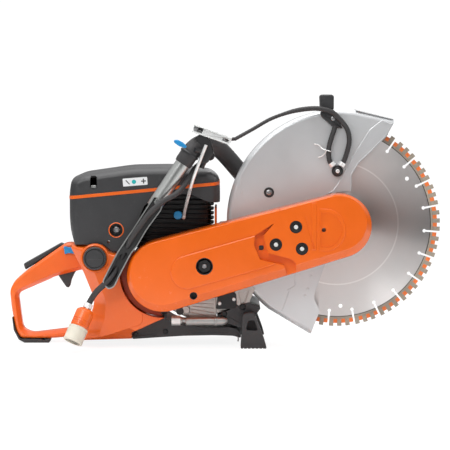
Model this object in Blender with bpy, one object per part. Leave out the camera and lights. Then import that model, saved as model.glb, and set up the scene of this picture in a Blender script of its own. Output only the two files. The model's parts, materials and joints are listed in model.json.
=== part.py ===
"""Petrol concrete cut-off saw, built as an assembly of named pieces.

Frame: +X points forward to the blade, -Y is the operator's right (belt side),
+Z is up and the feet stand on z = 0. Lengths are in millimetres up to the last
step, where every mesh is written in metres.
"""
import math

import bmesh
import bpy
from mathutils import Matrix, Vector
from mathutils.geometry import tessellate_polygon

MM = 0.001
GAP = 0.3                 # clearance between pieces that are screwed together
WALL = 3.0                # moulded and cast wall thickness

# Shared axes, both along Y
SPINDLE_X, SPINDLE_Z = 190.0, 206.0
CRANK_X, CRANK_Z = -86.0, 123.0
ARM_ANGLE = math.radians(16.0)

# Cutting disc
DISC_R = 175.0
DISC_T = 3.2
DISC_Y = -30.0
SEGMENTS = 24
SLOT_BASE_R = 149.0
SLOT_W = 3.3
KEYHOLE_R = 3.0
NOTCH_R = 170.5
BORE_R = 12.7

# Guard
GUARD_R = 190.0
GUARD_X, GUARD_Z = SPINDLE_X + 3.0, SPINDLE_Z + 3.5
GUARD_NEAR, GUARD_FAR = -52.0, -8.0
GUARD_WALL = 2.0
HUB_HOLE_R = 62.0

# Belt drive
ARM_NEAR, ARM_BACK = -116.0, -64.0
ARM_FRONT_R = 53.0
ARM_REAR_R = 60.0
ARM_REAR_X, ARM_REAR_Z = -103.0, 124.0
PULLEY_SMALL_R = 24.0
PULLEY_LARGE_R = 44.0
BELT_T = 4.0
BELT_NEAR, BELT_FAR = -98.0, -82.0

# Engine
CASE_HALF_W = 55.7
CYL_TOP = 262.0
CYL_BASE = 150.6
BORE_CYL_R = 25.3
FIN_PITCH = 8.5
FIN_T = 2.6
FIN_HALF_X = 67.0
FIN_HALF_Y = 52.0
FINS = 12

# Handle tube
TUBE_R = 12.5
GRIP_R = 14.6
TUBE_Y = -100.0

# Tank
TANK_NEAR, TANK_FAR = -85.0, 54.0
CAP_X, CAP_Z = -217.0, 151.5
HANDLE_HALF_W = 17.0

# Covers over the engine
COVER_NEAR, COVER_FAR = -75.0, 78.0

ORANGE = (0.80, 0.16, 0.02)
DARK = (0.06, 0.06, 0.065)
BLACK = (0.015, 0.015, 0.016)
ALUMINIUM = (0.62, 0.62, 0.60)
STEEL = (0.45, 0.45, 0.46)
CAST = (0.50, 0.47, 0.43)
SILVER = (0.60, 0.61, 0.62)
BLUE = (0.02, 0.20, 0.62)
BEIGE = (0.70, 0.66, 0.55)
RUBBER = (0.03, 0.03, 0.033)

for existing in list(bpy.data.objects):
    bpy.data.objects.remove(existing, do_unlink=True)


# ---------------------------------------------------------------- helpers

def material(name, rgb, metallic, roughness):
    mat = bpy.data.materials.new(name)
    mat.use_nodes = True
    shader = mat.node_tree.nodes["Principled BSDF"]
    shader.inputs["Base Color"].default_value = (*rgb, 1.0)
    shader.inputs["Metallic"].default_value = metallic
    shader.inputs["Roughness"].default_value = roughness
    return mat


def finish(name, bm, rgb, metallic=0.0, roughness=0.5, origin=(0, 0, 0), smooth=False):
    """Write a bmesh in millimetres as one object in metres, turned about origin."""
    bmesh.ops.remove_doubles(bm, verts=bm.verts, dist=0.001)
    bmesh.ops.recalc_face_normals(bm, faces=bm.faces)
    at = Vector(origin)
    bmesh.ops.translate(bm, verts=bm.verts, vec=-at)
    bmesh.ops.scale(bm, verts=bm.verts, vec=(MM, MM, MM))
    mesh = bpy.data.meshes.new(name)
    bm.to_mesh(mesh)
    bm.free()
    if smooth:
        for face in mesh.polygons:
            face.use_smooth = True
    obj = bpy.data.objects.new(name, mesh)
    obj.location = at * MM
    bpy.context.scene.collection.objects.link(obj)
    mesh.materials.append(material("mat_" + name, rgb, metallic, roughness))
    return obj


def cutter(name, bm):
    """A hidden shape that only cuts other pieces."""
    obj = finish(name, bm, BLACK)
    obj.hide_render = True
    obj.display_type = "WIRE"
    return obj


def boolean(obj, other, operation="DIFFERENCE"):
    mod = obj.modifiers.new(operation.title(), "BOOLEAN")
    mod.operation = operation
    mod.solver = "EXACT"
    mod.object = other


def bevel(obj, width, segments=2, angle=35.0):
    mod = obj.modifiers.new("Bevel", "BEVEL")
    mod.width = width * MM
    mod.segments = segments
    mod.limit_method = "ANGLE"
    mod.angle_limit = math.radians(angle)
    mod.use_clamp_overlap = True


def prism(outline, y0, y1, holes=()):
    """A plate with the given x-z outline, and through holes, from y0 to y1."""
    loops = [[Vector((x, z, 0.0)) for x, z in loop] for loop in (outline, *holes)]
    flat = [point for loop in loops for point in loop]
    bm = bmesh.new()
    near = [bm.verts.new((p.x, y0, p.y)) for p in flat]
    far = [bm.verts.new((p.x, y1, p.y)) for p in flat]
    for tri in tessellate_polygon(loops):
        bm.faces.new([near[i] for i in tri])
        bm.faces.new([far[i] for i in reversed(tri)])
    start = 0
    for loop in loops:
        count = len(loop)
        for i in range(count):
            a = start + i
            b = start + (i + 1) % count
            bm.faces.new((near[a], near[b], far[b], far[a]))
        start += count
    return bm


def merge(*meshes):
    """Join overlapping bmeshes into the first, for one cutter."""
    first = meshes[0]
    for other in meshes[1:]:
        table = {v: first.verts.new(v.co) for v in other.verts}
        for face in other.faces:
            first.faces.new([table[v] for v in face.verts])
        other.free()
    return first


def circle(cx, cz, radius, count=32, start=0.0):
    step = 2.0 * math.pi / count
    return [(cx + radius * math.cos(start + i * step), cz + radius * math.sin(start + i * step))
            for i in range(count)]


def arc(cx, cz, radius, a0, a1, count):
    """Points on an arc, angles in degrees, both ends included."""
    out = []
    for i in range(count + 1):
        a = math.radians(a0 + (a1 - a0) * i / count)
        out.append((cx + radius * math.cos(a), cz + radius * math.sin(a)))
    return out


def lathe(profile, base, axis, count=32):
    """Turn (radius, distance) pairs about the axis from base; ends close on the axis."""
    direction = Vector(axis).normalized()
    turn = Vector((0, 0, 1)).rotation_difference(direction).to_matrix().to_4x4()
    place = Matrix.Translation(Vector(base)) @ turn
    bm = bmesh.new()
    rings = []
    for radius, distance in profile:
        if radius < 1e-6:
            rings.append([bm.verts.new(place @ Vector((0, 0, distance)))])
            continue
        ring = []
        for i in range(count):
            a = 2.0 * math.pi * i / count
            spot = Vector((radius * math.cos(a), radius * math.sin(a), distance))
            ring.append(bm.verts.new(place @ spot))
        rings.append(ring)
    pairs = list(zip(rings, rings[1:]))
    if len(rings[0]) > 1 and len(rings[-1]) > 1:
        pairs.append((rings[-1], rings[0]))
    for low, high in pairs:
        for i in range(count):
            j = (i + 1) % count
            if len(low) == 1:
                bm.faces.new((low[0], high[j], high[i]))
            elif len(high) == 1:
                bm.faces.new((low[i], low[j], high[0]))
            else:
                bm.faces.new((low[i], low[j], high[j], high[i]))
    return bm


def rod(radius, start, end, count=20):
    length = (Vector(end) - Vector(start)).length
    return lathe([(0, 0), (radius, 0), (radius, length), (0, length)],
                 start, Vector(end) - Vector(start), count)


def smooth_route(points, spacing):
    """A Catmull-Rom curve through the route points, one point every `spacing`."""
    pts = [Vector(p) for p in points]
    pts = [2 * pts[0] - pts[1], *pts, 2 * pts[-1] - pts[-2]]
    dense = []
    for i in range(1, len(pts) - 2):
        p0, p1, p2, p3 = pts[i - 1:i + 3]
        for k in range(24):
            t = k / 24.0
            dense.append(0.5 * ((2 * p1) + (p2 - p0) * t + (2 * p0 - 5 * p1 + 4 * p2 - p3) * t * t
                                + (3 * p1 - p0 - 3 * p2 + p3) * t ** 3))
    dense.append(pts[-2])
    out = [dense[0]]
    travelled = 0.0
    for a, b in zip(dense, dense[1:]):
        travelled += (b - a).length
        if travelled >= spacing:
            out.append(b)
            travelled = 0.0
    if (out[-1] - dense[-1]).length < spacing * 0.5 and len(out) > 2:
        out.pop()
    out.append(dense[-1])
    return out


def sweep(route, radius, inner=0.0, count=14):
    """A round bar, or a pipe when inner is given, along a list of points."""
    pts = [Vector(p) for p in route]
    tangents = []
    for i, _ in enumerate(pts):
        a = pts[max(i - 1, 0)]
        b = pts[min(i + 1, len(pts) - 1)]
        tangents.append((b - a).normalized())
    side = tangents[0].orthogonal().normalized()
    frames = []
    for i, tangent in enumerate(tangents):
        if i:
            side = tangents[i - 1].rotation_difference(tangent) @ side
            side = (side - tangent * side.dot(tangent)).normalized()
        frames.append((pts[i], side.copy(), tangent.cross(side).normalized()))
    bm = bmesh.new()

    def ring(frame, r):
        centre, u, v = frame
        return [bm.verts.new(centre + r * (math.cos(2 * math.pi * k / count) * u
                                           + math.sin(2 * math.pi * k / count) * v))
                for k in range(count)]

    rings = [ring(frame, radius) for frame in frames]
    if inner > 0.0:
        rings += [ring(frame, inner) for frame in reversed(frames)]
        rings.append(rings[0])
    for low, high in zip(rings, rings[1:]):
        for k in range(count):
            j = (k + 1) % count
            bm.faces.new((low[k], low[j], high[j], high[k]))
    if inner <= 0.0:
        bm.faces.new(list(reversed(rings[0])))
        bm.faces.new(rings[-1])
    return bm


def hex_outline(cx, cz, across, turn=0.0):
    return circle(cx, cz, across / math.sqrt(3.0), 6, math.radians(turn))


def inset(outline, distance):
    """Shrink a counter-clockwise outline by a constant wall."""
    out = []
    count = len(outline)
    for i, (x, z) in enumerate(outline):
        ax, az = outline[i - 1]
        bx, bz = outline[(i + 1) % count]
        d1 = Vector((x - ax, z - az)).normalized()
        d2 = Vector((bx - x, bz - z)).normalized()
        n1 = Vector((-d1.y, d1.x))
        n2 = Vector((-d2.y, d2.x))
        mid = (n1 + n2).normalized()
        reach = distance / max(0.4, mid.dot(n1))
        out.append((x + mid.x * reach, z + mid.y * reach))
    return out


def rounded(outline, radius, steps=4):
    """Round every corner of an outline."""
    out = []
    count = len(outline)
    for i, corner in enumerate(outline):
        p = Vector(corner)
        a = Vector(outline[i - 1]) - p
        b = Vector(outline[(i + 1) % count]) - p
        reach = min(radius, 0.45 * a.length, 0.45 * b.length)
        start = p + a.normalized() * reach
        end = p + b.normalized() * reach
        for k in range(steps + 1):
            t = k / steps
            q = (1 - t) ** 2 * start + 2 * t * (1 - t) * p + t * t * end
            out.append((q.x, q.y))
    return out


# ---------------------------------------------------------------- cutting disc and spindle

def disc_outline():
    """Core, slots with keyholes, and the stepped teeth of each segment."""
    pts = []
    pitch = 360.0 / SEGMENTS
    half_slot = math.degrees(SLOT_W * 0.5 / DISC_R)
    tooth = (pitch - 2 * half_slot) / 6.0
    for s in range(SEGMENTS):
        a = 10.3 + s * pitch
        mid = math.radians(a)
        radial = Vector((math.cos(mid), math.sin(mid)))
        across = Vector((-radial.y, radial.x))
        for r, w in ((DISC_R, -0.5 * SLOT_W), (SLOT_BASE_R + KEYHOLE_R, -0.5 * SLOT_W)):
            p = radial * r + across * w
            pts.append((SPINDLE_X + p.x, SPINDLE_Z + p.y))
        for k in range(5):
            turn = math.radians(-135.0 - 22.5 * (k * 2 + 1) + 22.5)
            p = radial * (SLOT_BASE_R + KEYHOLE_R * math.cos(turn)) + across * KEYHOLE_R * math.sin(turn)
            pts.append((SPINDLE_X + p.x, SPINDLE_Z + p.y))
        p = radial * (SLOT_BASE_R + KEYHOLE_R) + across * 0.5 * SLOT_W
        pts.append((SPINDLE_X + p.x, SPINDLE_Z + p.y))
        for k in range(6):
            radius = DISC_R if k % 2 == 0 else NOTCH_R
            for edge in (k, k + 1):
                turn = math.radians(a + half_slot + tooth * edge)
                pts.append((SPINDLE_X + radius * math.cos(turn), SPINDLE_Z + radius * math.sin(turn)))
    return pts


def build_disc():
    holes = [circle(SPINDLE_X, SPINDLE_Z, BORE_R, 24)]
    for angle in (32.8, 152.8, 272.8):
        a = math.radians(angle)
        holes.append(circle(SPINDLE_X + 141.0 * math.cos(a), SPINDLE_Z + 141.0 * math.sin(a), 3.4, 10))
    bm = prism(disc_outline(), DISC_Y - DISC_T / 2, DISC_Y + DISC_T / 2, holes)
    finish("cutting_disc", bm, STEEL, 0.9, 0.3, (SPINDLE_X, DISC_Y, SPINDLE_Z))


def build_spindle():
    base = (SPINDLE_X, 0.0, SPINDLE_Z)
    axis = (0, 1, 0)
    spindle = lathe([(0, -102), (9.0, -102), (9.0, -76), (11.5, -76), (11.5, -46.9),
                     (12.4, -46.9), (12.4, -27.0), (9.8, -27.0), (9.8, -3.0), (0, -3.0)],
                    base, axis, 20)
    finish("spindle", spindle, STEEL, 0.9, 0.35, base, True)
    inner = lathe([(12.6, -46.7), (30, -46.7), (52.5, -35.0), (52.5, -31.9), (44, -31.9), (12.6, -31.9)],
                  base, axis, 28)
    finish("inner_flange", inner, STEEL, 0.85, 0.4, base, True)
    outer = lathe([(12.6, -28.1), (52.5, -28.1), (52.5, -25.0), (32, -17.0), (12.6, -17.0)], base, axis, 28)
    finish("outer_flange", outer, STEEL, 0.85, 0.4, base, True)
    nut = prism(hex_outline(SPINDLE_X, SPINDLE_Z, 32.0), -16.7, -5.0,
                [circle(SPINDLE_X, SPINDLE_Z, 10.0, 24)])
    obj = finish("arbor_nut", nut, STEEL, 0.9, 0.35, (SPINDLE_X, -11.0, SPINDLE_Z))
    bevel(obj, 0.8, 1)
    pulley = lathe([(9.2, BELT_NEAR - 2), (PULLEY_LARGE_R + 2.5, BELT_NEAR - 2),
                    (PULLEY_LARGE_R + 2.5, BELT_NEAR - 0.4), (PULLEY_LARGE_R - GAP, BELT_NEAR - 0.4),
                    (PULLEY_LARGE_R - GAP, BELT_FAR + 0.4), (PULLEY_LARGE_R + 2.5, BELT_FAR + 0.4),
                    (PULLEY_LARGE_R + 2.5, BELT_FAR + 2), (9.2, BELT_FAR + 2)], base, axis, 28)
    finish("spindle_pulley", pulley, CAST, 0.7, 0.45, base, True)


# ---------------------------------------------------------------- guard

def guard_outline(shrink=0.0):
    """Rear arc, upper nose, concave mouth and the flared lower nose."""
    r = GUARD_R - shrink
    pts = arc(GUARD_X, GUARD_Z, r, 82.0, 232.0, 42)
    lower = [(93, 44.5), (144, 17.5), (158, 53), (160, 60), (151, 79), (151, 88), (168, 135)]
    upper = [(213, 265), (213, 288), (225, 309), (248, 331), (271, 354), (287, 383)]
    if shrink:
        lower = [(94.3, 46.6), (143.2, 20.8), (190, 45), (200, 60), (195, 79), (195, 88), (200, 135)]
        upper = [(255, 250), (260, 288), (270, 300), (300, 322), (310, 376)]
    return pts + lower + upper


def build_guard():
    shell = finish("disc_guard", prism(guard_outline(), GUARD_NEAR, GUARD_FAR), SILVER, 0.6, 0.35,
                   (SPINDLE_X, 0.5 * (GUARD_NEAR + GUARD_FAR), SPINDLE_Z))
    bevel(shell, 4.0, 2, 50.0)
    room = cutter("cut_guard_room", prism(guard_outline(GUARD_WALL), GUARD_NEAR + GUARD_WALL,
                                          GUARD_FAR - GUARD_WALL))
    boolean(shell, room)
    hub = cutter("cut_guard_hub", rod(HUB_HOLE_R, (SPINDLE_X, GUARD_NEAR - 5, SPINDLE_Z),
                                      (SPINDLE_X, GUARD_FAR + 5, SPINDLE_Z), 40))
    boolean(shell, hub)


def build_guard_handle():
    grip = rounded([(161, 397.2), (183, 399.6), (184, 424), (180, 426), (164, 426), (161, 423)], 3.0, 2)
    cheek = [(160, 398), (162, 388), (181, 370), (196, 368), (184, 398)]
    handle = finish("guard_handle", prism(grip, -57.5, -2.5), DARK, 0.0, 0.6, (SPINDLE_X, -30.0, SPINDLE_Z))
    boolean(handle, cutter("join_cheek_near", prism(cheek, -57.0, GUARD_NEAR - GAP)), "UNION")
    boolean(handle, cutter("join_cheek_far", prism(cheek, GUARD_FAR + GAP, -3.0)), "UNION")
    bevel(handle, 1.0, 1, 40.0)


def build_nozzles():
    for name, y, way in (("water_nozzle_near", GUARD_NEAR - GAP, -1), ("water_nozzle_far", GUARD_FAR + GAP, 1)):
        bm = lathe([(0, 0), (8.5, 0), (8.5, 6.0), (5.0, 8.5), (0, 8.5)], (189, y, 296), (0, way, 0), 20)
        finish(name, bm, BLACK, 0.1, 0.5, (SPINDLE_X, y, SPINDLE_Z), True)


GUARD_HOSE = [(16, -88, 350), (45, -84, 366), (75, -76, 383), (105, -68, 394), (127, -64, 399),
              (147, -62.6, 401), (162, -62.6, 400), (179, -62.6, 395), (192, -62.6, 383),
              (204, -62.6, 367), (208, -62, 350), (206, -60, 333), (200, -58, 314), (196.5, -57, 306.5)]
BRANCH_HOSE = [(183, -57.2, 365.6), (178, -57.2, 350), (174, -57.2, 333), (175, -57.2, 315),
               (179.5, -57, 307)]


def build_guard_hoses():
    for name, route in (("guard_water_hose", GUARD_HOSE), ("guard_branch_hose", BRANCH_HOSE)):
        finish(name, sweep(smooth_route(route, 13.0), 4.25, count=10), RUBBER, 0.0, 0.6, (0, 0, 0), True)


# ---------------------------------------------------------------- arm and belt

def arm_outline():
    """Tapered capsule of the belt covers, counter-clockwise."""
    lean = math.degrees(ARM_ANGLE)
    front = arc(SPINDLE_X, SPINDLE_Z + 1, ARM_FRONT_R, lean - 90.0, lean + 90.0, 22)
    rear = arc(ARM_REAR_X, ARM_REAR_Z, ARM_REAR_R, lean + 90.0, lean + 270.0, 24)
    return front + rear


SEAM = [(86, 260), (84, 224), (58, 192), (62, 164), (100, 151), (112, 110)]


def build_belt_covers():
    whole = arm_outline()
    seam_back = [(x - GAP, z) for x, z in reversed(SEAM)]
    rear_side = [(112, 90), *seam_back, (86, 280), (-190, 280), (-190, 40), (112, 40)]
    front_side = [*SEAM, (112, 40), (260, 40), (260, 290), (86, 290)]
    for name, side in (("rear_belt_cover", rear_side), ("front_belt_cover", front_side)):
        cover = finish(name, prism(whole, ARM_NEAR, ARM_BACK), ORANGE, 0.0, 0.25, (SPINDLE_X, -90, SPINDLE_Z))
        boolean(cover, cutter("keep_" + name, prism(side, ARM_NEAR - 5, ARM_BACK + 5)), "INTERSECT")
        bevel(cover, 5.0, 3, 50.0)
        room = prism(inset(whole, WALL), ARM_NEAR + WALL, ARM_BACK + 5)
        boolean(cover, cutter("cut_room_" + name, room))
        if name == "rear_belt_cover":
            nut_hole = rod(14.3, (-34, ARM_NEAR - 5, 141), (-34, ARM_NEAR + 12, 141), 24)
            small = rod(6.3, (-52, ARM_NEAR - 5, 92), (-52, ARM_NEAR + 12, 92), 16)
            boolean(cover, cutter("cut_cover_holes", merge(nut_hole, small)))


def build_cutting_arm():
    """Cast beam behind the belt, with the bearing housing at its front."""
    lean = math.degrees(ARM_ANGLE)
    plate = arc(SPINDLE_X, SPINDLE_Z + 1, ARM_FRONT_R - 7.0, lean - 90.0, lean + 90.0, 18)
    plate += [(-44, 188), (-44, 94)]
    holes = [circle(SPINDLE_X, SPINDLE_Z, 18.0, 28)]
    arm = finish("cutting_arm", prism(plate, ARM_BACK - 4.0, -56.0, holes), CAST, 0.7, 0.5, (0, -60, 150))
    housing = lathe([(11.9, -76), (26, -76), (30, -70), (30, -52), (27, -47.2), (11.9, -47.2)],
                    (SPINDLE_X, 0, SPINDLE_Z), (0, 1, 0), 28)
    boolean(arm, cutter("join_bearing_housing", housing), "UNION")


def belt_loop(shift):
    """Outer or inner line of the belt, wrapped round both pulleys."""
    dx = SPINDLE_X - CRANK_X
    dz = SPINDLE_Z - CRANK_Z
    lean = math.degrees(math.atan2(dz, dx))
    spread = math.degrees(math.asin((PULLEY_LARGE_R - PULLEY_SMALL_R) / math.hypot(dx, dz)))
    big = arc(SPINDLE_X, SPINDLE_Z, PULLEY_LARGE_R + shift, lean - 90 - spread, lean + 90 + spread, 18)
    small = arc(CRANK_X, CRANK_Z, PULLEY_SMALL_R + shift, lean + 90 + spread, lean + 270 - spread, 12)
    return big + small


def build_belt():
    bm = prism(belt_loop(BELT_T), BELT_NEAR, BELT_FAR, [belt_loop(0.0)])
    finish("drive_belt", bm, BLACK, 0.0, 0.7, (0, -90, 160))


def build_belt_tensioner():
    nut = prism(hex_outline(-34, 141, 19.0, 18), -114.5, -101.0)
    boss = rod(13.4, (-34, -105.0, 141), (-34, -64.5 - 4.0, 141), 24)
    obj = finish("belt_tensioner", nut, STEEL, 0.8, 0.4, (-34, -100, 141))
    boolean(obj, cutter("join_tensioner_boss", boss), "UNION")


# ---------------------------------------------------------------- engine

CASE_OUTLINE = [(-128, 76), (-92, 62), (-62, 47), (-18, 47), (-15, 54), (39, 76.5), (41, 86), (34, 98),
                (24, 112), (4, 150), (-128, 150)]


def build_crankcase():
    for name, y0, y1, side in (("crankcase_right", -CASE_HALF_W, -0.15, -1), ("crankcase_left", 0.15, CASE_HALF_W, 1)):
        case = finish(name, prism(CASE_OUTLINE, y0, y1), CAST, 0.7, 0.55, (CRANK_X, 0.5 * (y0 + y1), CRANK_Z))
        bevel(case, 2.0, 1, 50.0)
        chamber = lathe([(0, -1), (38, -1), (38, 24), (11.5, 24), (11.5, 90), (0, 90)],
                        (CRANK_X, 0, CRANK_Z), (0, side, 0), 32)
        boolean(case, cutter("cut_chamber_" + name, chamber))
        throat = rod(26.0, (CRANK_X, 0, CRANK_Z), (CRANK_X, 0, 160.0), 28)
        boolean(case, cutter("cut_throat_" + name, throat))


def build_engine_shaft():
    base = (CRANK_X, 0.0, CRANK_Z)
    shaft = lathe([(0, -103), (8.0, -103), (8.0, -66), (11.2, -66), (11.2, -20), (33, -20), (33, -7), (12, -7),
                   (12, 7), (33, 7), (33, 20), (11.2, 20), (11.2, 58), (8.0, 58), (8.0, 84), (0, 84)],
                  base, (0, 1, 0), 20)
    finish("crankshaft", shaft, STEEL, 0.9, 0.3, base, True)
    drum = lathe([(8.3, BELT_NEAR - 1), (PULLEY_SMALL_R + 2.5, BELT_NEAR - 1),
                  (PULLEY_SMALL_R + 2.5, BELT_NEAR - 0.4), (PULLEY_SMALL_R - GAP, BELT_NEAR - 0.4),
                  (PULLEY_SMALL_R - GAP, BELT_FAR + 0.4), (39, BELT_FAR + 1.0), (39, -67.0), (36, -67.0),
                  (36, BELT_FAR + 3.0), (8.3, BELT_FAR + 3.0)], base, (0, 1, 0), 24)
    finish("clutch_drum", drum, STEEL, 0.8, 0.4, base, True)
    flywheel = lathe([(8.3, 60), (52, 60), (52, 66), (48, 76), (20, 76), (20, 80), (8.3, 80)], base, (0, 1, 0), 28)
    finish("flywheel", flywheel, CAST, 0.7, 0.5, base, True)
    piston = lathe([(0, 0), (BORE_CYL_R - 0.4, 0), (BORE_CYL_R - 0.4, 34), (22, 36), (0, 36)],
                   (CRANK_X, 0, 186), (0, 0, 1), 28)
    finish("piston", piston, ALUMINIUM, 0.8, 0.35, (CRANK_X, 0, 186), True)


def fin_ring(half_x, half_y, count):
    """Rounded-rectangle ring with evenly turned points."""
    pts = []
    power = 6.0
    for i in range(count):
        a = 2.0 * math.pi * (i + 0.5) / count
        c = math.cos(a)
        s = math.sin(a)
        r = (abs(c / half_x) ** power + abs(s / half_y) ** power) ** (-1.0 / power)
        pts.append((r * c, r * s))
    return pts


def build_cylinder():
    """Finned barrel with a blind bore, open at its foot."""
    count = 20
    bm = bmesh.new()
    levels = []
    fin = fin_ring(FIN_HALF_X, FIN_HALF_Y, count)
    core = fin_ring(36.0, 36.0, count)
    levels.append((fin_ring(BORE_CYL_R, BORE_CYL_R, count), 235.0))
    levels.append((fin_ring(BORE_CYL_R, BORE_CYL_R, count), CYL_BASE))
    levels.append((fin_ring(46, 44, count), CYL_BASE))
    levels.append((fin_ring(46, 44, count), CYL_BASE + 5.0))
    z = CYL_BASE + 8.0
    for _ in range(FINS):
        levels += [(core, z), (fin, z), (fin, z + FIN_T), (core, z + FIN_T)]
        z += FIN_PITCH
    levels.append((core, CYL_TOP))
    rings = [[bm.verts.new((CRANK_X + x, y, height)) for x, y in ring] for ring, height in levels]
    for low, high in zip(rings, rings[1:]):
        for i in range(count):
            j = (i + 1) % count
            bm.faces.new((low[i], low[j], high[j], high[i]))
    bm.faces.new(rings[0])
    bm.faces.new(rings[-1])
    finish("cylinder", bm, BLACK, 0.4, 0.5, (CRANK_X, 0, 206))
    plug = lathe([(0, 0), (9, 0), (9, 4), (6, 5), (6, 12), (8, 13), (8, 24), (6, 26), (0, 26)],
                 (CRANK_X, 0, CYL_TOP + GAP), (0, 0, 1), 20)
    finish("spark_plug_cap", plug, BLACK, 0.0, 0.5, (CRANK_X, 0, 275), True)


def build_decompression_valve():
    button = lathe([(0, 0), (3.6, 0), (3.6, 2.5), (6.2, 2.5), (6.2, 7.0), (5.0, 8.2), (0, 8.2)],
                   (-79, -56.0, 222), (0, -1, 0), 24)
    finish("decompression_button", button, BLUE, 0.0, 0.35, (-79, -60, 222), True)


def build_muffler():
    box = rounded([(-12, 157), (44, 157), (44, 203), (-12, 203)], 8.0, 3)
    finish("muffler", prism(box, 4.0, 80.0), STEEL, 0.7, 0.55, (16, 42, 180))
    shield = [(-17.5, 152), (-14.0, 152), (-14.0, 234), (-17.5, 234)]
    finish("heat_shield", prism(shield, -50.0, 50.0), ORANGE, 0.0, 0.4, (-16, 0, 193))


def build_intake():
    body = prism(rounded([(-188, 196), (-158, 196), (-158, 228), (-188, 228)], 4.0, 2), -22.0, 22.0)
    finish("carburettor", body, CAST, 0.8, 0.45, (-173, 0, 212))
    element = prism(rounded([(-246, 190), (-192, 190), (-192, 266), (-246, 262)], 6.0, 3), -52.0, 56.0)
    finish("air_filter", element, (0.75, 0.72, 0.62), 0.0, 0.9, (-219, 0, 228))


def build_starter():
    cover = lathe([(0, 122), (44, 122), (62, 111), (66, 100), (66, 57), (62.5, 57), (62.5, 99), (58, 108),
                   (42, 118.5), (0, 118.5)], (CRANK_X, 0, CRANK_Z), (0, 1, 0), 32)
    finish("starter_cover", cover, ORANGE, 0.0, 0.3, (CRANK_X, 90, CRANK_Z), True)
    pulley = lathe([(0, 82.0), (34, 82.0), (34, 84), (28, 85), (28, 91), (34, 92), (34, 94), (0, 94)],
                   (CRANK_X, 0, CRANK_Z), (0, 1, 0), 28)
    pulley_obj = finish("starter_pulley", pulley, DARK, 0.0, 0.5, (CRANK_X, 88, CRANK_Z), True)
    boolean(pulley_obj, cutter("cut_pulley_bore", rod(8.6, (CRANK_X, 78, CRANK_Z), (CRANK_X, 87, CRANK_Z), 20)))
    grip = rounded([(-150, 198), (-106, 207), (-109, 221), (-153, 212)], 5.0, 3)
    finish("starter_handle", prism(grip, 84.0, 102.0), DARK, 0.0, 0.6, (-130, 93, 210))


# ---------------------------------------------------------------- tank, rear handle and covers

def build_tank():
    loop = [(-252, 166), (-271, 172), (-341, 123), (-359, 107), (-368, 92), (-366, 59), (-359, 21), (-351, 9),
            (-335, 7.3), (-300, 7.3), (-244, 14), (-246, 29), (-270, 24), (-331, 17), (-345, 25), (-350, 82),
            (-290, 113.5), (-238, 127)]
    wide = [(-260, 172), (-262, 155), (-240, 126), (-224, 80), (-229, 52), (-262, 24), (-262, 10), (-132, 14),
            (-132, 130), (-150, 150), (-165, 160), (-190, 161), (-205, 173)]
    tank = finish("fuel_tank_rear_handle", prism(rounded(loop, 10, 3), -HANDLE_HALF_W, HANDLE_HALF_W),
                  ORANGE, 0.0, 0.3, (-250, 0, 100))
    bevel(tank, 5.0, 2, 50.0)
    body = cutter("join_tank_body", prism(wide, TANK_NEAR, TANK_FAR))
    bevel(body, 6.0, 2, 60.0)
    boolean(tank, body, "UNION")
    nest = rod(73.0, (ARM_REAR_X, TANK_NEAR - 5, ARM_REAR_Z), (ARM_REAR_X, -60.0, ARM_REAR_Z), 48)
    boolean(tank, cutter("cut_arm_nest", nest))
    seat = [(-157.3, 0), (-100, 0), (-100, 50), (-157.3, 25.5)]
    boolean(tank, cutter("cut_beam_seat", prism(seat, -95.0, 95.0)))
    fuel = [(-232, 160), (-221, 112), (-212, 74), (-222, 42), (-190, 20), (-165, 28), (-140, 44),
            (-140, 125), (-160, 150), (-185, 153)]
    room = prism(fuel, -52.0, TANK_FAR - 5)
    boolean(tank, cutter("cut_fuel_room", room))
    neck = rod(14.0, (CAP_X, TANK_NEAR - 10, CAP_Z), (CAP_X, -40.0, CAP_Z), 24)
    boolean(tank, cutter("cut_fuel_neck", neck))
    lock_slot = [(-354, 126), (-341, 115), (-271, 160), (-262, 190), (-354, 190)]
    trigger_slot = [(-298, 103), (-246, 110), (-244, 148), (-258, 152), (-296, 128)]
    boolean(tank, cutter("cut_lock_slot", prism(lock_slot, -9.5, 9.5)))
    boolean(tank, cutter("cut_trigger_slot", prism(trigger_slot, -8.0, 8.0)))


def build_tank_fittings():
    cap = lathe([(0, 14), (13, 14), (13.4, -0.3), (19.5, -0.3), (19.5, -5.0), (18.3, -6.2), (0, -6.2)],
                (CAP_X, TANK_NEAR, CAP_Z), (0, 1, 0), 32)
    finish("fuel_cap", cap, DARK, 0.0, 0.5, (CAP_X, TANK_NEAR, CAP_Z), True)
    lock = rounded([(-346, 134), (-342, 124.5), (-278, 164.5), (-276, 167.5), (-282, 170)], 2.5, 2)
    finish("throttle_lockout", prism(lock, -8.5, 8.5), DARK, 0.0, 0.6, (-279, 0, 166.5))
    trigger = rounded([(-287, 116), (-283, 121), (-262, 135), (-254, 136), (-250, 130), (-262, 112), (-266, 98),
                       (-269, 94.5), (-275, 98)], 3.0, 2)
    finish("throttle_trigger", prism(trigger, -7.0, 7.0), DARK, 0.0, 0.6, (-256, 0, 133))
    latch = rounded([(-285, 165), (-282, 151), (-274, 155), (-264, 150), (-263, 161), (-273, 161)], 1.0, 1)
    finish("choke_control", prism(latch, -22.0, -17.4), BLUE, 0.0, 0.4, (-274, -19.5, 158))
    finish("rear_foot_pad", prism([(-352, 6.9), (-350, 2), (-338, 0), (-312, 0), (-309, 6.9)], -28.0, 28.0),
           RUBBER, 0.0, 0.8, (-330, 0, 3))


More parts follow.
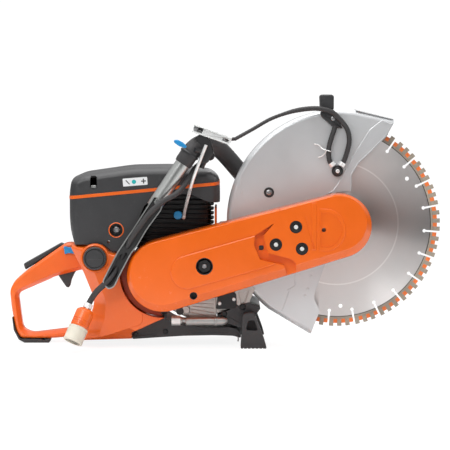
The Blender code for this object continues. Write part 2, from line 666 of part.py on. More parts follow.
UPPER = [(-261.5, 255), (-259, 283), (-244, 291), (-158, 304), (-88, 305), (-23, 296), (-10, 283), (-9, 279)]
LOWER = [(-262, 248.8), (-260, 206), (-252, 173.5), (-204, 174.5), (-189, 162.3), (-167, 161.5), (-135, 238),
         (-112, 257), (-46, 257), (-40, 250), (-30, 246), (-16, 244), (-9, 244), (-9, 272.6)]


def stripe_z(x, offset):
    return 252.0 + (x + 262.0) * 24.0 / 253.0 + offset


def build_covers():
    top = finish("upper_engine_cover", prism(UPPER, COVER_NEAR, COVER_FAR), DARK, 0.0, 0.5, (-135, 0, 280))
    bevel(top, 11.0, 3, 40.0)
    room = [(-255, 230), (-252, 278), (-242, 286), (-158, 299), (-88, 300), (-26, 291), (-14, 279), (-14, 250)]
    boolean(top, cutter("cut_upper_room", prism(room, COVER_NEAR + 4, COVER_FAR - 4)))
    side = finish("lower_engine_cover", prism(LOWER, COVER_NEAR, COVER_FAR), DARK, 0.0, 0.5, (-135, 0, 230))
    bevel(side, 4.0, 2, 60.0)
    room = [(-255, 300), (-255, 206), (-248, 160), (-160, 150), (-14, 150), (-14, 300)]
    boolean(side, cutter("cut_lower_room", prism(room, COVER_NEAR + 3, COVER_FAR - 3)))
    band = [(-262.5, stripe_z(-262, -2.9)), (-8.5, stripe_z(-9, -2.9)), (-8.5, stripe_z(-9, 2.7)),
            (-262.5, stripe_z(-262, 2.7))]
    hollow = [(-255, 200), (-14, 200), (-14, 320), (-255, 320)]
    trim = finish("cover_trim_band", prism(band, COVER_NEAR - 1, COVER_FAR + 1), ORANGE, 0.0, 0.4, (-135, 0, 264))
    bevel(trim, 1.2, 1, 60.0)
    boolean(trim, cutter("cut_band_room", prism(hollow, COVER_NEAR + 4, COVER_FAR - 4)))


# ---------------------------------------------------------------- front handle

GRIP_START_X = -71.0
HANDLE_ROUTE = [(-140, TUBE_Y, 206), (-105, TUBE_Y, 257.7), (-71, TUBE_Y, 308), (-54, -98, 332),
                (-40, -84, 342), (-25, -56, 343), (-8, -24, 331), (19, 12, 300), (46, 42, 264),
                (62, 60, 220), (66, 67, 160), (60, 68, 110), (48, 68, 80.5)]
CHANNEL = [(-204, 114), (-193, 102), (-183, 106), (-171, 131), (-154, 163), (-146, 172), (-129, 201),
           (-103, 236), (-105, 250), (-116, 259), (-146, 212), (-179, 163)]


def build_front_handle():
    route = smooth_route(HANDLE_ROUTE, 15.0)
    finish("front_handle_tube", sweep(route, TUBE_R, count=14), ALUMINIUM, 0.9, 0.3, (0, 0, 200), True)
    start = next(i for i, p in enumerate(route) if p.x > GRIP_START_X)
    finish("front_handle_grip", sweep(route[start:-3], GRIP_R + 0.4, TUBE_R + 0.5, 14), RUBBER, 0.0, 0.8, (0, 0, 250), True)
    channel = finish("handle_channel", prism(rounded(CHANNEL, 6, 2), -115.0, -86.0), DARK, 0.1, 0.5, (-150, -100, 180))
    axis_low = Vector(HANDLE_ROUTE[0])
    axis_high = Vector(HANDLE_ROUTE[2])
    socket = rod(TUBE_R + GAP, axis_low - (axis_high - axis_low) * 0.01, axis_high, 20)
    boolean(channel, cutter("cut_tube_socket", socket))
    pocket = [(-199, 114), (-192, 107), (-186, 110), (-174, 133), (-157, 166), (-150, 175), (-142, 190),
              (-156, 202), (-176, 170)]
    boolean(channel, cutter("cut_channel_pocket", prism(rounded(pocket, 4, 2), -120.0, -91.0)))
    mouth = sweep([(-177, -98, 143), *INLET_HOSE[:4]], 6.5, count=12)
    boolean(channel, cutter("cut_hose_mouth", mouth))


def build_handle_bracket():
    """Folded sheet: two plates joined by a web on their far side."""
    lower = prism([(-55, 364.5), (8, 341.5), (9, 345), (-54, 368)], -114.0, -88.0)
    plate = finish("handle_bracket", lower, SILVER, 0.9, 0.25, (-20, -101, 358))
    upper = prism([(-54, 371.5), (11, 347.5), (12, 351), (-53, 375)], -116.0, -88.0)
    web = prism([(-52, 365), (6, 344), (7, 349), (-51, 373)], -92.0, -88.5)
    boolean(plate, cutter("join_bracket_upper", upper), "UNION")
    boolean(plate, cutter("join_bracket_web", web), "UNION")


def build_water_valve():
    body = lathe([(0, 0), (7.5, 0), (8.2, 2), (8.2, 20), (6, 22), (0, 22)], (-25, -100, 323), (0, 1, 0), 24)
    finish("water_valve", body, BLACK, 0.2, 0.4, (-25, -90, 323), True)
    lever = rounded([(-84, 349), (-87, 344), (-72, 335.5), (-66.5, 337), (-67, 343), (-74, 347)], 2.0, 2)
    finish("water_valve_lever", prism(lever, -123.0, -117.5), BLUE, 0.0, 0.35, (-70, -120, 339))


FEED_HOSE = [(-172, -101, 152), (-164, -107, 169), (-152, -120.3, 191), (-140, -120.6, 208), (-124, -121, 229), (-101, -121, 249),
             (-80, -118, 261), (-66, -106, 276), (-57, -95, 290), (-50, -90, 302), (-40, -89, 310), (-32.5, -89, 315)]
INLET_HOSE = [(-178, -99, 141), (-184, -105, 128), (-197, -110, 113), (-212, -109, 99), (-222.5, -107.5, 84),
              (-229, -112.5, 69.5)]


def build_hoses():
    finish("water_feed_hose", sweep(smooth_route(FEED_HOSE, 12.0), 4.6, count=10), RUBBER, 0.0, 0.6, (0, 0, 0), True)
    stay = [(-31, -111, 341), (-44, -108, 308), (-54, -99, 280), (-61, -82, 255), (-66, -68, 236), (-69.5, -57, 219)]
    finish("stay_cable", sweep(smooth_route(stay, 16.0), 2.8, count=8), STEEL, 0.8, 0.4, (0, 0, 0), True)


def build_inlet():
    """Free hose that hangs from the channel, with its clamp and coupling."""
    points = smooth_route(INLET_HOSE, 11.0)
    curve = bpy.data.curves.new("water_inlet_hose", "CURVE")
    curve.dimensions = "3D"
    spline = curve.splines.new("POLY")
    spline.points.add(len(points) - 1)
    for slot, point in zip(spline.points, points):
        slot.co = (*(point * MM), 1.0)
    curve.bevel_depth = 5.0 * MM
    curve.bevel_resolution = 3
    curve.use_fill_caps = True
    hose = bpy.data.objects.new("water_inlet_hose", curve)
    bpy.context.scene.collection.objects.link(hose)
    curve.materials.append(material("mat_water_inlet_hose", RUBBER, 0.0, 0.6))
    end = points[-1]
    way = (points[-1] - points[-2]).normalized()
    clamp = lathe([(5.4, 0), (7.2, 0), (7.2, 8.5), (5.4, 8.5)], end - way * 9.5, way, 20)
    finish("inlet_hose_clamp", clamp, STEEL, 0.9, 0.3, end, True)
    body = lathe([(0, 0.4), (9.5, 0.4), (13.8, 3), (15.2, 8), (15.2, 33), (0, 33)], end, way, 28)
    finish("coupling_body", body, ORANGE, 0.0, 0.35, end, True)
    collar = lathe([(0, 33.4), (15.8, 33.4), (16.6, 36), (16.6, 60), (12.5, 60), (12.5, 40), (0, 40)], end, way, 28)
    finish("coupling_collar", collar, BEIGE, 0.0, 0.5, end, True)


# ---------------------------------------------------------------- under frame and feet

def build_under_frame():
    beam = [(-157, 12), (-120, 15), (-69, 18), (14, 18), (27, 14), (26, 30.9), (16, 35), (12, 30), (-47, 35),
            (-88, 38), (-100, 47), (-157, 24.8)]
    obj = finish("base_beam", prism(beam, -58.0, 54.0), DARK, 0.0, 0.6, (-60, 0, 28))
    bevel(obj, 1.5, 1, 50.0)
    bracket = [(-14, 52.6), (-12, 47), (27, 31.4), (54, 34), (57, 56), (59, 64), (39, 75.2)]
    obj = finish("foot_bracket", prism(bracket, -61.0, 84.0), DARK, 0.0, 0.6, (25, 0, 52))
    bevel(obj, 1.5, 1, 50.0)
    foot = [(26, 0), (70, 0), (66, 12), (49, 57.5), (31, 56)]
    window = [(35, 31), (55, 31), (49, 47), (38, 47)]
    for name, y0, y1 in (("front_foot_near", -88.0, -61.3), ("front_foot_far", 84.3, 111.0)):
        foot_obj = finish(name, prism(foot, y0, y1, [window]), RUBBER, 0.0, 0.8, (47, 0.5 * (y0 + y1), 28))
        bevel(foot_obj, 1.5, 1, 50.0)
    barrel = lathe([(0, 0), (7.5, 0), (7.5, 49), (9.0, 49), (9.0, 52), (7.5, 52), (7.5, 62), (3, 71), (0, 71)],
                   (-66, -67.2, 40), (1, 0, 0), 24)
    damper = finish("damper_cylinder", barrel, ALUMINIUM, 0.9, 0.3, (-30, -67, 40), True)
    nut = lathe([(0, 0), (8.5, 0), (8.5, 17), (5, 17), (5, 26), (0, 26)], (-90, -67.2, 41), (1, 0, 0), 6)
    boolean(damper, cutter("join_damper_nut", nut), "UNION")


def build_all():
    build_disc()
    build_spindle()
    build_guard()
    build_guard_handle()
    build_nozzles()
    build_guard_hoses()
    build_belt_covers()
    build_cutting_arm()
    build_belt()
    build_belt_tensioner()
    build_crankcase()
    build_engine_shaft()
    build_cylinder()
    build_decompression_valve()
    build_muffler()
    build_intake()
    build_starter()
    build_tank()
    build_tank_fittings()
    build_covers()
    build_front_handle()
    build_handle_bracket()
    build_water_valve()
    build_hoses()
    build_inlet()
    build_under_frame()


build_all()
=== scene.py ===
"""Looks of the concrete cut-off saw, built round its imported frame.

Lengths are millimetres in the row frame: +X forward to the blade, -Y the belt
side, +Z up. Every mesh is written in metres. Sizes and places start from the
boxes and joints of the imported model.
"""
import json
import math

import bmesh
import bpy
from mathutils import Matrix, Vector
from mathutils.geometry import tessellate_polygon


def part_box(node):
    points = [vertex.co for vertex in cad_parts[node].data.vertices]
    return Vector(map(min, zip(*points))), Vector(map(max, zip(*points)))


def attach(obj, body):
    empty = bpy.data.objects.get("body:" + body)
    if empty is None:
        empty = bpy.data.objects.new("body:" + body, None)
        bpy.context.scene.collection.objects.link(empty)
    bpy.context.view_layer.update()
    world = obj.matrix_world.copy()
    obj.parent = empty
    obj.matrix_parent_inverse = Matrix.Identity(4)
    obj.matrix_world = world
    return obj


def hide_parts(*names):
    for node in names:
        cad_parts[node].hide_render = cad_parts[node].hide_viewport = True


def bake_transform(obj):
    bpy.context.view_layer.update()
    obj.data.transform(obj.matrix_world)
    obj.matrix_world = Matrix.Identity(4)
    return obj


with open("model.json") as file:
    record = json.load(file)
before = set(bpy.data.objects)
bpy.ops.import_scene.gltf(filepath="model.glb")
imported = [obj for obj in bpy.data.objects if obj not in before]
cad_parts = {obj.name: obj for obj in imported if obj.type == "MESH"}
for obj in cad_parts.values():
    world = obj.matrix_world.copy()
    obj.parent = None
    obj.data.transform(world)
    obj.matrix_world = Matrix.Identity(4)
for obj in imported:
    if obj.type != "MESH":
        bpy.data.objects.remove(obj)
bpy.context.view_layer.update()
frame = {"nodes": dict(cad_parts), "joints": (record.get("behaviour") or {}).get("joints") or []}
MM = 0.001


def node_box(name):
    low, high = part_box(name)
    return low / MM, high / MM


def joint_place(name):
    joint = next(j for j in frame["joints"] if j["name"] == name)
    return Vector(joint["pos_m"]) / MM


SPINDLE = joint_place("disc_spin")
CRANK = joint_place("engine_spin")
DISC_LOW, DISC_HIGH = node_box("cutting_disc")
GUARD_LOW, GUARD_HIGH = node_box("disc_guard")
COVER_LOW, COVER_HIGH = node_box("rear_belt_cover")
TANK_LOW, TANK_HIGH = node_box("fuel_tank_rear_handle")
SHELL_LOW, SHELL_HIGH = node_box("upper_engine_cover")
PLATE_LOW, PLATE_HIGH = node_box("handle_channel")
BRACKET_LOW, BRACKET_HIGH = node_box("handle_bracket")

ARM_ANGLE = math.radians(16.0)


# --- outlines and solids

def circle(cx, cz, radius, count=32, start=0.0):
    step = 2.0 * math.pi / count
    return [(cx + radius * math.cos(start + i * step), cz + radius * math.sin(start + i * step))
            for i in range(count)]


def arc(cx, cz, radius, a0, a1, count):
    """Points on an arc, angles in degrees, both ends included."""
    turns = [math.radians(a0 + (a1 - a0) * i / count) for i in range(count + 1)]
    return [(cx + radius * math.cos(a), cz + radius * math.sin(a)) for a in turns]


def rectangle(x0, z0, x1, z1):
    return [(x0, z0), (x1, z0), (x1, z1), (x0, z1)]


def hexagon(cx, cz, across, turn=0.0):
    return circle(cx, cz, across / math.sqrt(3.0), 6, math.radians(turn))


def anticlockwise(outline):
    area = sum(a[0] * b[1] - b[0] * a[1] for a, b in zip(outline, outline[1:] + outline[:1]))
    return list(outline) if area > 0 else list(reversed(outline))


def inset(outline, distance):
    """Shrink an anticlockwise outline by a constant wall."""
    if distance == 0:
        return list(outline)
    out = []
    count = len(outline)
    for i, (x, z) in enumerate(outline):
        before = Vector((x - outline[i - 1][0], z - outline[i - 1][1])).normalized()
        after = Vector((outline[(i + 1) % count][0] - x, outline[(i + 1) % count][1] - z)).normalized()
        n1 = Vector((-before.y, before.x))
        n2 = Vector((-after.y, after.x))
        middle = (n1 + n2).normalized()
        reach = distance / max(0.4, middle.dot(n1))
        out.append((x + middle.x * reach, z + middle.y * reach))
    return out


def rounded(outline, radius, steps=5):
    """Round every corner of an outline."""
    out = []
    count = len(outline)
    for i, corner in enumerate(outline):
        p = Vector(corner)
        a = Vector(outline[i - 1]) - p
        b = Vector(outline[(i + 1) % count]) - p
        reach = min(radius, 0.45 * a.length, 0.45 * b.length)
        start = p + a.normalized() * reach
        end = p + b.normalized() * reach
        for k in range(steps + 1):
            t = k / steps
            q = (1 - t) ** 2 * start + 2 * t * (1 - t) * p + t * t * end
            out.append((q.x, q.y))
    return out


def prism(outline, y0, y1, holes=()):
    """A plate with the given x-z outline, and through holes, from y0 to y1."""
    loops = [[Vector((x, z, 0.0)) for x, z in loop] for loop in (outline, *holes)]
    flat = [point for loop in loops for point in loop]
    bm = bmesh.new()
    near = [bm.verts.new((p.x, y0, p.y)) for p in flat]
    far = [bm.verts.new((p.x, y1, p.y)) for p in flat]
    for tri in tessellate_polygon(loops):
        bm.faces.new([near[i] for i in tri])
        bm.faces.new([far[i] for i in reversed(tri)])
    start = 0
    for loop in loops:
        count = len(loop)
        for i in range(count):
            a = start + i
            b = start + (i + 1) % count
            bm.faces.new((near[a], near[b], far[b], far[a]))
        start += count
    return bm


def loft(rings):
    """Skin outlines of equal point count, given as (y, outline) from near to far."""
    bm = bmesh.new()
    loops = [[bm.verts.new((x, y, z)) for x, z in outline] for y, outline in rings]
    count = len(loops[0])
    for low, high in zip(loops, loops[1:]):
        for i in range(count):
            j = (i + 1) % count
            bm.faces.new((low[i], low[j], high[j], high[i]))
    bm.faces.new(loops[0])
    bm.faces.new(list(reversed(loops[-1])))
    return bm


def slab(outline, y0, y1, near=0.0, far=0.0, steps=4, corner=0.0):
    """A plate whose near and far edges, and its corners, are rounded by the given radii."""
    outline = anticlockwise(outline)

    def level(shrink):
        loop = inset(outline, shrink)
        return rounded(loop, corner) if corner else loop

    rings = []
    for k in range(steps + 1 if near else 1):
        t = math.radians(90.0) * k / steps if near else math.radians(90.0)
        rings.append((y0 + near * (1 - math.cos(t)), level(near * (1 - math.sin(t)))))
    for k in range(steps + 1 if far else 1):
        t = math.radians(90.0) * k / steps if far else 0.0
        rings.append((y1 - far * (1 - math.sin(t)), level(far * (1 - math.cos(t)))))
    return loft(rings)


def merge(*meshes):
    """Put several bmeshes into the first one."""
    first = meshes[0]
    for other in meshes[1:]:
        table = {v: first.verts.new(v.co) for v in other.verts}
        for face in other.faces:
            first.faces.new([table[v] for v in face.verts])
        other.free()
    return first


def lathe(profile, base, count=48, axis=(0, 1, 0)):
    """Turn (radius, distance) pairs about the axis from base; ends close on the axis."""
    direction = Vector(axis).normalized()
    turn = Vector((0, 0, 1)).rotation_difference(direction).to_matrix().to_4x4()
    spot = Matrix.Translation(Vector(base)) @ turn
    bm = bmesh.new()
    rings = []
    for radius, distance in profile:
        if radius < 1e-6:
            rings.append([bm.verts.new(spot @ Vector((0, 0, distance)))])
            continue
        turns = [2.0 * math.pi * i / count for i in range(count)]
        rings.append([bm.verts.new(spot @ Vector((radius * math.cos(a), radius * math.sin(a), distance)))
                      for a in turns])
    pairs = list(zip(rings, rings[1:]))
    if len(rings[0]) > 1 and len(rings[-1]) > 1:
        pairs.append((rings[-1], rings[0]))
    for low, high in pairs:
        for i in range(count):
            j = (i + 1) % count
            if len(low) == 1:
                bm.faces.new((low[0], high[j], high[i]))
            elif len(high) == 1:
                bm.faces.new((low[i], low[j], high[0]))
            else:
                bm.faces.new((low[i], low[j], high[j], high[i]))
    return bm


def rod(radius, start, end, count=32):
    way = Vector(end) - Vector(start)
    return lathe(rectangle(0, 0, radius, way.length), start, count, way)


def pin(radius, x, z, y0, y1, count=32):
    """A rod from y0 to y1, square to the belt side."""
    return rod(radius, (x, y0, z), (x, y1, z), count)


def smooth_route(points, spacing):
    """A Catmull-Rom curve through the route points, one point every `spacing`."""
    pts = [Vector(p) for p in points]
    pts = [2 * pts[0] - pts[1], *pts, 2 * pts[-1] - pts[-2]]
    dense = []
    for i in range(1, len(pts) - 2):
        p0, p1, p2, p3 = pts[i - 1:i + 3]
        for k in range(24):
            t = k / 24.0
            dense.append(0.5 * ((2 * p1) + (p2 - p0) * t + (2 * p0 - 5 * p1 + 4 * p2 - p3) * t * t
                                + (3 * p1 - p0 - 3 * p2 + p3) * t ** 3))
    dense.append(pts[-2])
    out = [dense[0]]
    travelled = 0.0
    for a, b in zip(dense, dense[1:]):
        travelled += (b - a).length
        if travelled >= spacing:
            out.append(b)
            travelled = 0.0
    if (out[-1] - dense[-1]).length < spacing * 0.5 and len(out) > 2:
        out.pop()
    out.append(dense[-1])
    return out


def carried_frames(route):
    """(point, side, up) along a route, turned as little as possible from one to the next."""
    pts = [Vector(p) for p in route]
    ways = [(pts[min(i + 1, len(pts) - 1)] - pts[max(i - 1, 0)]).normalized() for i in range(len(pts))]
    side = ways[0].orthogonal().normalized()
    frames = []
    for i, way in enumerate(ways):
        if i:
            side = ways[i - 1].rotation_difference(way) @ side
            side = (side - way * side.dot(way)).normalized()
        frames.append((pts[i], side.copy(), way.cross(side).normalized()))
    return frames


def sweep(route, radius, inner=0.0, count=20):
    """A round bar, or a pipe when inner is given. radius may be one number or one for each point."""
    frames = carried_frames(route)
    radii = radius if isinstance(radius, (list, tuple)) else [radius] * len(frames)
    bm = bmesh.new()

    def ring(spot, r):
        centre, u, v = spot
        turns = [2.0 * math.pi * k / count for k in range(count)]
        return [bm.verts.new(centre + r * (math.cos(a) * u + math.sin(a) * v)) for a in turns]

    rings = [ring(spot, r) for spot, r in zip(frames, radii)]
    if inner > 0.0:
        rings += [ring(spot, inner) for spot in reversed(frames)]
        rings.append(rings[0])
    for low, high in zip(rings, rings[1:]):
        for k in range(count):
            j = (k + 1) % count
            bm.faces.new((low[k], low[j], high[j], high[k]))
    if inner <= 0.0:
        bm.faces.new(list(reversed(rings[0])))
        bm.faces.new(rings[-1])
    return bm


def coil(route, radius, wire, turn_length, count=8):
    """Wire wound round a route."""
    frames = carried_frames(route)
    length = sum((b[0] - a[0]).length for a, b in zip(frames, frames[1:]))
    steps = int(length / turn_length * 10)
    path = []
    for k in range(steps + 1):
        place_at = k / steps * (len(frames) - 1)
        i = min(int(place_at), len(frames) - 2)
        share = place_at - i
        centre = frames[i][0].lerp(frames[i + 1][0], share)
        u = frames[i][1].lerp(frames[i + 1][1], share)
        v = frames[i][2].lerp(frames[i + 1][2], share)
        a = 2.0 * math.pi * k / 10.0
        path.append(centre + radius * (math.cos(a) * u + math.sin(a) * v))
    return sweep(path, wire, count=count)


# --- surfaces

def new_node(tree, kind, inputs=(), **settings):
    """A shader node. An input is a value, or the socket that feeds it."""
    node = tree.nodes.new("ShaderNode" + kind)
    for key, value in settings.items():
        setattr(node, key, value)
    for key, value in dict(inputs).items():
        if isinstance(value, bpy.types.NodeSocket):
            tree.links.new(value, node.inputs[key])
        else:
            node.inputs[key].default_value = value
    return node


def ramp(tree, factor, stops):
    """A colour ramp over (position, rgb) stops in rising order."""
    node = tree.nodes.new("ShaderNodeValToRGB")
    elements = node.color_ramp.elements
    elements[0].position = stops[0][0]
    elements[1].position = stops[-1][0]
    for spot, _ in stops[1:-1]:
        elements.new(spot)
    for element, (_, rgb) in zip(elements, stops):
        element.color = (*rgb, 1.0)
    tree.links.new(factor, node.inputs[0])
    return node.outputs[0]


def scaled(rgb, factor):
    return tuple(min(1.0, c * factor) for c in rgb)


def noise(tree, spot, scale, detail, roughness=0.5):
    inputs = {"Vector": spot, "Scale": scale, "Detail": detail, "Roughness": roughness}
    return new_node(tree, "TexNoise", inputs).outputs["Fac"]


BROAD_SCALE = 14.0
MARK_SCALE = 95.0


def surface(name, rgb, metallic=0.0, roughness=0.45, tone=0.08, grain=1400.0, bump=0.1,
            scuff=0.12, scuff_rgb=None, coat=0.0, stretch=(1.0, 1.0, 1.0)):
    """A worn surface: broad colour drift, fine grain, scuffs that change colour and roughness."""
    mat = bpy.data.materials.new(name)
    mat.use_nodes = True
    tree = mat.node_tree
    links = tree.links
    shader = tree.nodes["Principled BSDF"]
    shader.inputs["Metallic"].default_value = metallic
    shader.inputs["Coat Weight"].default_value = coat
    shader.inputs["Coat Roughness"].default_value = 0.12
    spot = new_node(tree, "TexCoord").outputs["Object"]
    stretched = new_node(tree, "Mapping", {"Vector": spot, "Scale": stretch}).outputs[0]
    broad = noise(tree, spot, BROAD_SCALE, 5.0)
    fine = noise(tree, stretched, grain, 3.0)
    marks = noise(tree, stretched, MARK_SCALE, 8.0, 0.75)
    worn = ramp(tree, marks, [(0.56, (0, 0, 0)), (0.72, (scuff, scuff, scuff))])
    drift = ramp(tree, broad, [(0.3, scaled(rgb, 1 - tone)), (0.7, scaled(rgb, 1 + tone))])
    bare = (*(scuff_rgb or scaled(rgb, 1.6)), 1.0)
    colour = new_node(tree, "Mix", {0: worn, 6: drift, 7: bare}, data_type="RGBA")
    links.new(colour.outputs[2], shader.inputs["Base Color"])
    base = new_node(tree, "MapRange", {0: broad, 1: 0.3, 2: 0.7, 3: roughness - 0.05, 4: roughness + 0.06})
    rough = new_node(tree, "Math", {0: base.outputs[0], 1: worn}, operation="ADD", use_clamp=True)
    links.new(rough.outputs[0], shader.inputs["Roughness"])
    relief = new_node(tree, "Bump", {"Strength": bump, "Distance": 0.0004, "Height": fine})
    links.new(relief.outputs[0], shader.inputs["Normal"])
    return mat


def disc_steel():
    """Steel ground in circles round the spindle, with two turned lines."""
    mat = surface("disc_steel", (0.92, 0.91, 0.90), 1.0, 0.33, 0.04, 900.0, 0.03, 0.0)
    tree = mat.node_tree
    links = tree.links
    shader = tree.nodes["Principled BSDF"]
    spot = new_node(tree, "TexCoord").outputs["Object"]
    flat = new_node(tree, "VectorMath", {0: spot, 1: (1.0, 0.0, 1.0)}, operation="MULTIPLY")
    radius = new_node(tree, "VectorMath", {0: flat.outputs[0]}, operation="LENGTH").outputs["Value"]
    share = new_node(tree, "Math", {0: radius, 1: DISC_R * MM}, operation="DIVIDE")
    plain, bright, dark = (0.80, 0.79, 0.79), (1.0, 1.0, 1.0), (0.08, 0.08, 0.08)
    line = RING_R / DISC_R
    weld = RIM_R / DISC_R
    rings = ramp(tree, share.outputs[0], [(line - 0.008, plain), (line - 0.006, bright),
                                          (line + 0.006, bright), (line + 0.008, plain),
                                          (weld - 0.012, plain), (weld - 0.009, dark), (weld - 0.003, dark),
                                          (weld, plain)])
    old = shader.inputs["Base Color"].links[0].from_socket
    tint = new_node(tree, "Mix", {0: 1.0, 6: old, 7: rings}, data_type="RGBA", blend_type="MULTIPLY")
    links.new(tint.outputs[2], shader.inputs["Base Color"])
    many = new_node(tree, "Math", {0: radius, 1: GRIND_LINES}, operation="MULTIPLY").outputs[0]
    turned = new_node(tree, "TexNoise", {"W": many, "Scale": 1.0, "Detail": 2.0}, noise_dimensions="1D")
    height = turned.outputs["Fac"]
    relief = new_node(tree, "Bump", {"Strength": 0.05, "Distance": 0.0001, "Height": height})
    links.new(relief.outputs[0], shader.inputs["Normal"])
    tangent = new_node(tree, "Tangent", direction_type="RADIAL", axis="Y")
    links.new(tangent.outputs[0], shader.inputs["Tangent"])
    shader.inputs["Anisotropic"].default_value = 1.0
    shader.inputs["Anisotropic Rotation"].default_value = 0.25
    return mat


DISC_Y = 0.5 * (DISC_LOW.y + DISC_HIGH.y)
DISC_R = 0.5 * max(DISC_HIGH.x - DISC_LOW.x, DISC_HIGH.z - DISC_LOW.z)
RIM_R = DISC_R - 15.0
RING_R = 0.594 * DISC_R
GRIND_LINES = 420.0

ORANGE = (0.80, 0.128, 0.008)
GREY = (0.036, 0.036, 0.038)
# rgb, metallic, roughness, tone, grain, bump, scuff, then where needed scuff_rgb, coat and stretch
LOOKS = {
    "orange_plastic": (ORANGE, 0.0, 0.335, 0.06, 2200.0, 0.12, 0.10, (0.86, 0.36, 0.16), 0.25),
    # dark copy of the orange: painted shade for a part seen deep in a recess
    "orange_painted_shade": ((0.30, 0.035, 0.004), 0.0, 0.5, 0.10, 900.0, 0.2, 0.12),
    "orange_paint": ((0.78, 0.125, 0.004), 0.0, 0.20, 0.05, 700.0, 0.05, 0.06, (0.86, 0.30, 0.10), 0.25),
    "dark_plastic": (GREY, 0.0, 0.38, 0.10, 2600.0, 0.35, 0.10, (0.20, 0.20, 0.20)),
    "black_plastic": ((0.020, 0.020, 0.021), 0.0, 0.42, 0.15, 2000.0, 0.25, 0.10, (0.10, 0.10, 0.10)),
    "blue_plastic": ((0.016, 0.250, 0.560), 0.0, 0.35, 0.08, 1500.0, 0.12, 0.10),
    "beige_plastic": ((0.66, 0.62, 0.52), 0.0, 0.50, 0.06, 1500.0, 0.15, 0.14, (0.45, 0.42, 0.35)),
    "rubber": ((0.034, 0.032, 0.033), 0.0, 0.58, 0.14, 1800.0, 0.45, 0.12, (0.14, 0.13, 0.13)),
    "silver_paint": ((0.63, 0.64, 0.65), 0.45, 0.335, 0.03, 260.0, 0.015, 0.012, (0.36, 0.36, 0.36), 0.2),
    "cast_magnesium": ((0.50, 0.475, 0.45), 0.70, 0.42, 0.12, 420.0, 0.9, 0.18, (0.20, 0.18, 0.17)),
    "aluminium": ((0.44, 0.45, 0.44), 0.95, 0.335, 0.05, 900.0, 0.10, 0.12,
        (0.45, 0.45, 0.45), 0.0, (1.0, 1.0, 0.08)),
    "steel": ((0.46, 0.46, 0.47), 0.95, 0.34, 0.08, 900.0, 0.15, 0.15, (0.28, 0.27, 0.26)),
    "black_paint": ((0.008, 0.008, 0.009), 0.1, 0.34, 0.15, 800.0, 0.30, 0.15, (0.08, 0.08, 0.08)),
    "zinc": ((0.86, 0.87, 0.86), 0.45, 0.335, 0.06, 300.0, 0.08, 0.14, (0.55, 0.56, 0.55)),
    "filter_paper": ((0.62, 0.56, 0.42), 0.0, 0.85, 0.10, 500.0, 0.60, 0.20, (0.40, 0.36, 0.28)),
    "segment_matrix": ((0.36, 0.31, 0.25), 0.25, 0.62, 0.22, 1500.0, 1.0, 0.35, (0.16, 0.13, 0.10)),
    "segment_colour": ((0.78, 0.17, 0.03), 0.0, 0.55, 0.16, 1300.0, 0.8, 0.25, (0.50, 0.28, 0.14)),
    "label_film": ((0.78, 0.79, 0.80), 0.0, 0.35, 0.03, 900.0, 0.04, 0.05, (0.6, 0.6, 0.6)),
    "teal_film": ((0.01, 0.42, 0.42), 0.0, 0.35, 0.05, 900.0, 0.04, 0.05),
}
FINISHES = {name: surface(name, *look) for name, look in LOOKS.items()}
FINISHES["disc_steel"] = disc_steel()


# --- pieces

def raw(name, bm):
    """An object in metres from a bmesh in millimetres, which stays as it was."""
    bm = bm.copy()
    bmesh.ops.remove_doubles(bm, verts=bm.verts, dist=0.001)
    bmesh.ops.recalc_face_normals(bm, faces=bm.faces)
    bmesh.ops.scale(bm, verts=bm.verts, vec=(MM, MM, MM))
    mesh = bpy.data.meshes.new(name)
    bm.to_mesh(mesh)
    bm.free()
    obj = bpy.data.objects.new(name, mesh)
    bpy.context.scene.collection.objects.link(obj)
    return obj


def bake(obj):
    """Make what the modifiers show the piece's own mesh."""
    graph = bpy.context.evaluated_depsgraph_get()
    mesh = bpy.data.meshes.new_from_object(obj.evaluated_get(graph))
    old = obj.data
    obj.modifiers.clear()
    obj.data = mesh
    bpy.data.meshes.remove(old)
    mesh.name = obj.name


def place(name, bm, finish, stands_for=(), body="machine", keeps=(), joins=(), cuts=(), bevel=0.0, steps=2,
          sharp=30.0, centre=None):
    """Finish a shape as a piece that rides on a CAD body. body None leaves it free."""
    obj = raw(name, bm)
    tools = []
    for operation, shapes in (("INTERSECT", keeps), ("UNION", joins), ("DIFFERENCE", cuts)):
        for shape in shapes:
            tool = raw("tool", shape)
            tools.append(tool)
            mod = obj.modifiers.new(operation, "BOOLEAN")
            mod.operation = operation
            mod.solver = "EXACT"
            mod.object = tool
    if bevel:
        mod = obj.modifiers.new("Bevel", "BEVEL")
        mod.width = bevel * MM
        mod.segments = steps
        mod.limit_method = "ANGLE"
        mod.angle_limit = math.radians(35.0)
        mod.use_clamp_overlap = True
    if tools or bevel:
        bake(obj)
    for tool in tools:
        mesh = tool.data
        bpy.data.objects.remove(tool)
        bpy.data.meshes.remove(mesh)
    obj.data.materials.clear()
    obj.data.materials.append(FINISHES[finish])
    for face in obj.data.polygons:
        face.use_smooth = True
        face.material_index = 0
    obj.data.set_sharp_from_angle(angle=math.radians(sharp))
    mod = obj.modifiers.new("Weighted", "WEIGHTED_NORMAL")
    mod.keep_sharp = True
    if centre:
        obj.data.transform(Matrix.Translation(-centre * MM))
        obj.location = centre * MM
    if body:
        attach(obj, body)
    if stands_for:
        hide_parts(*stands_for)
    return obj


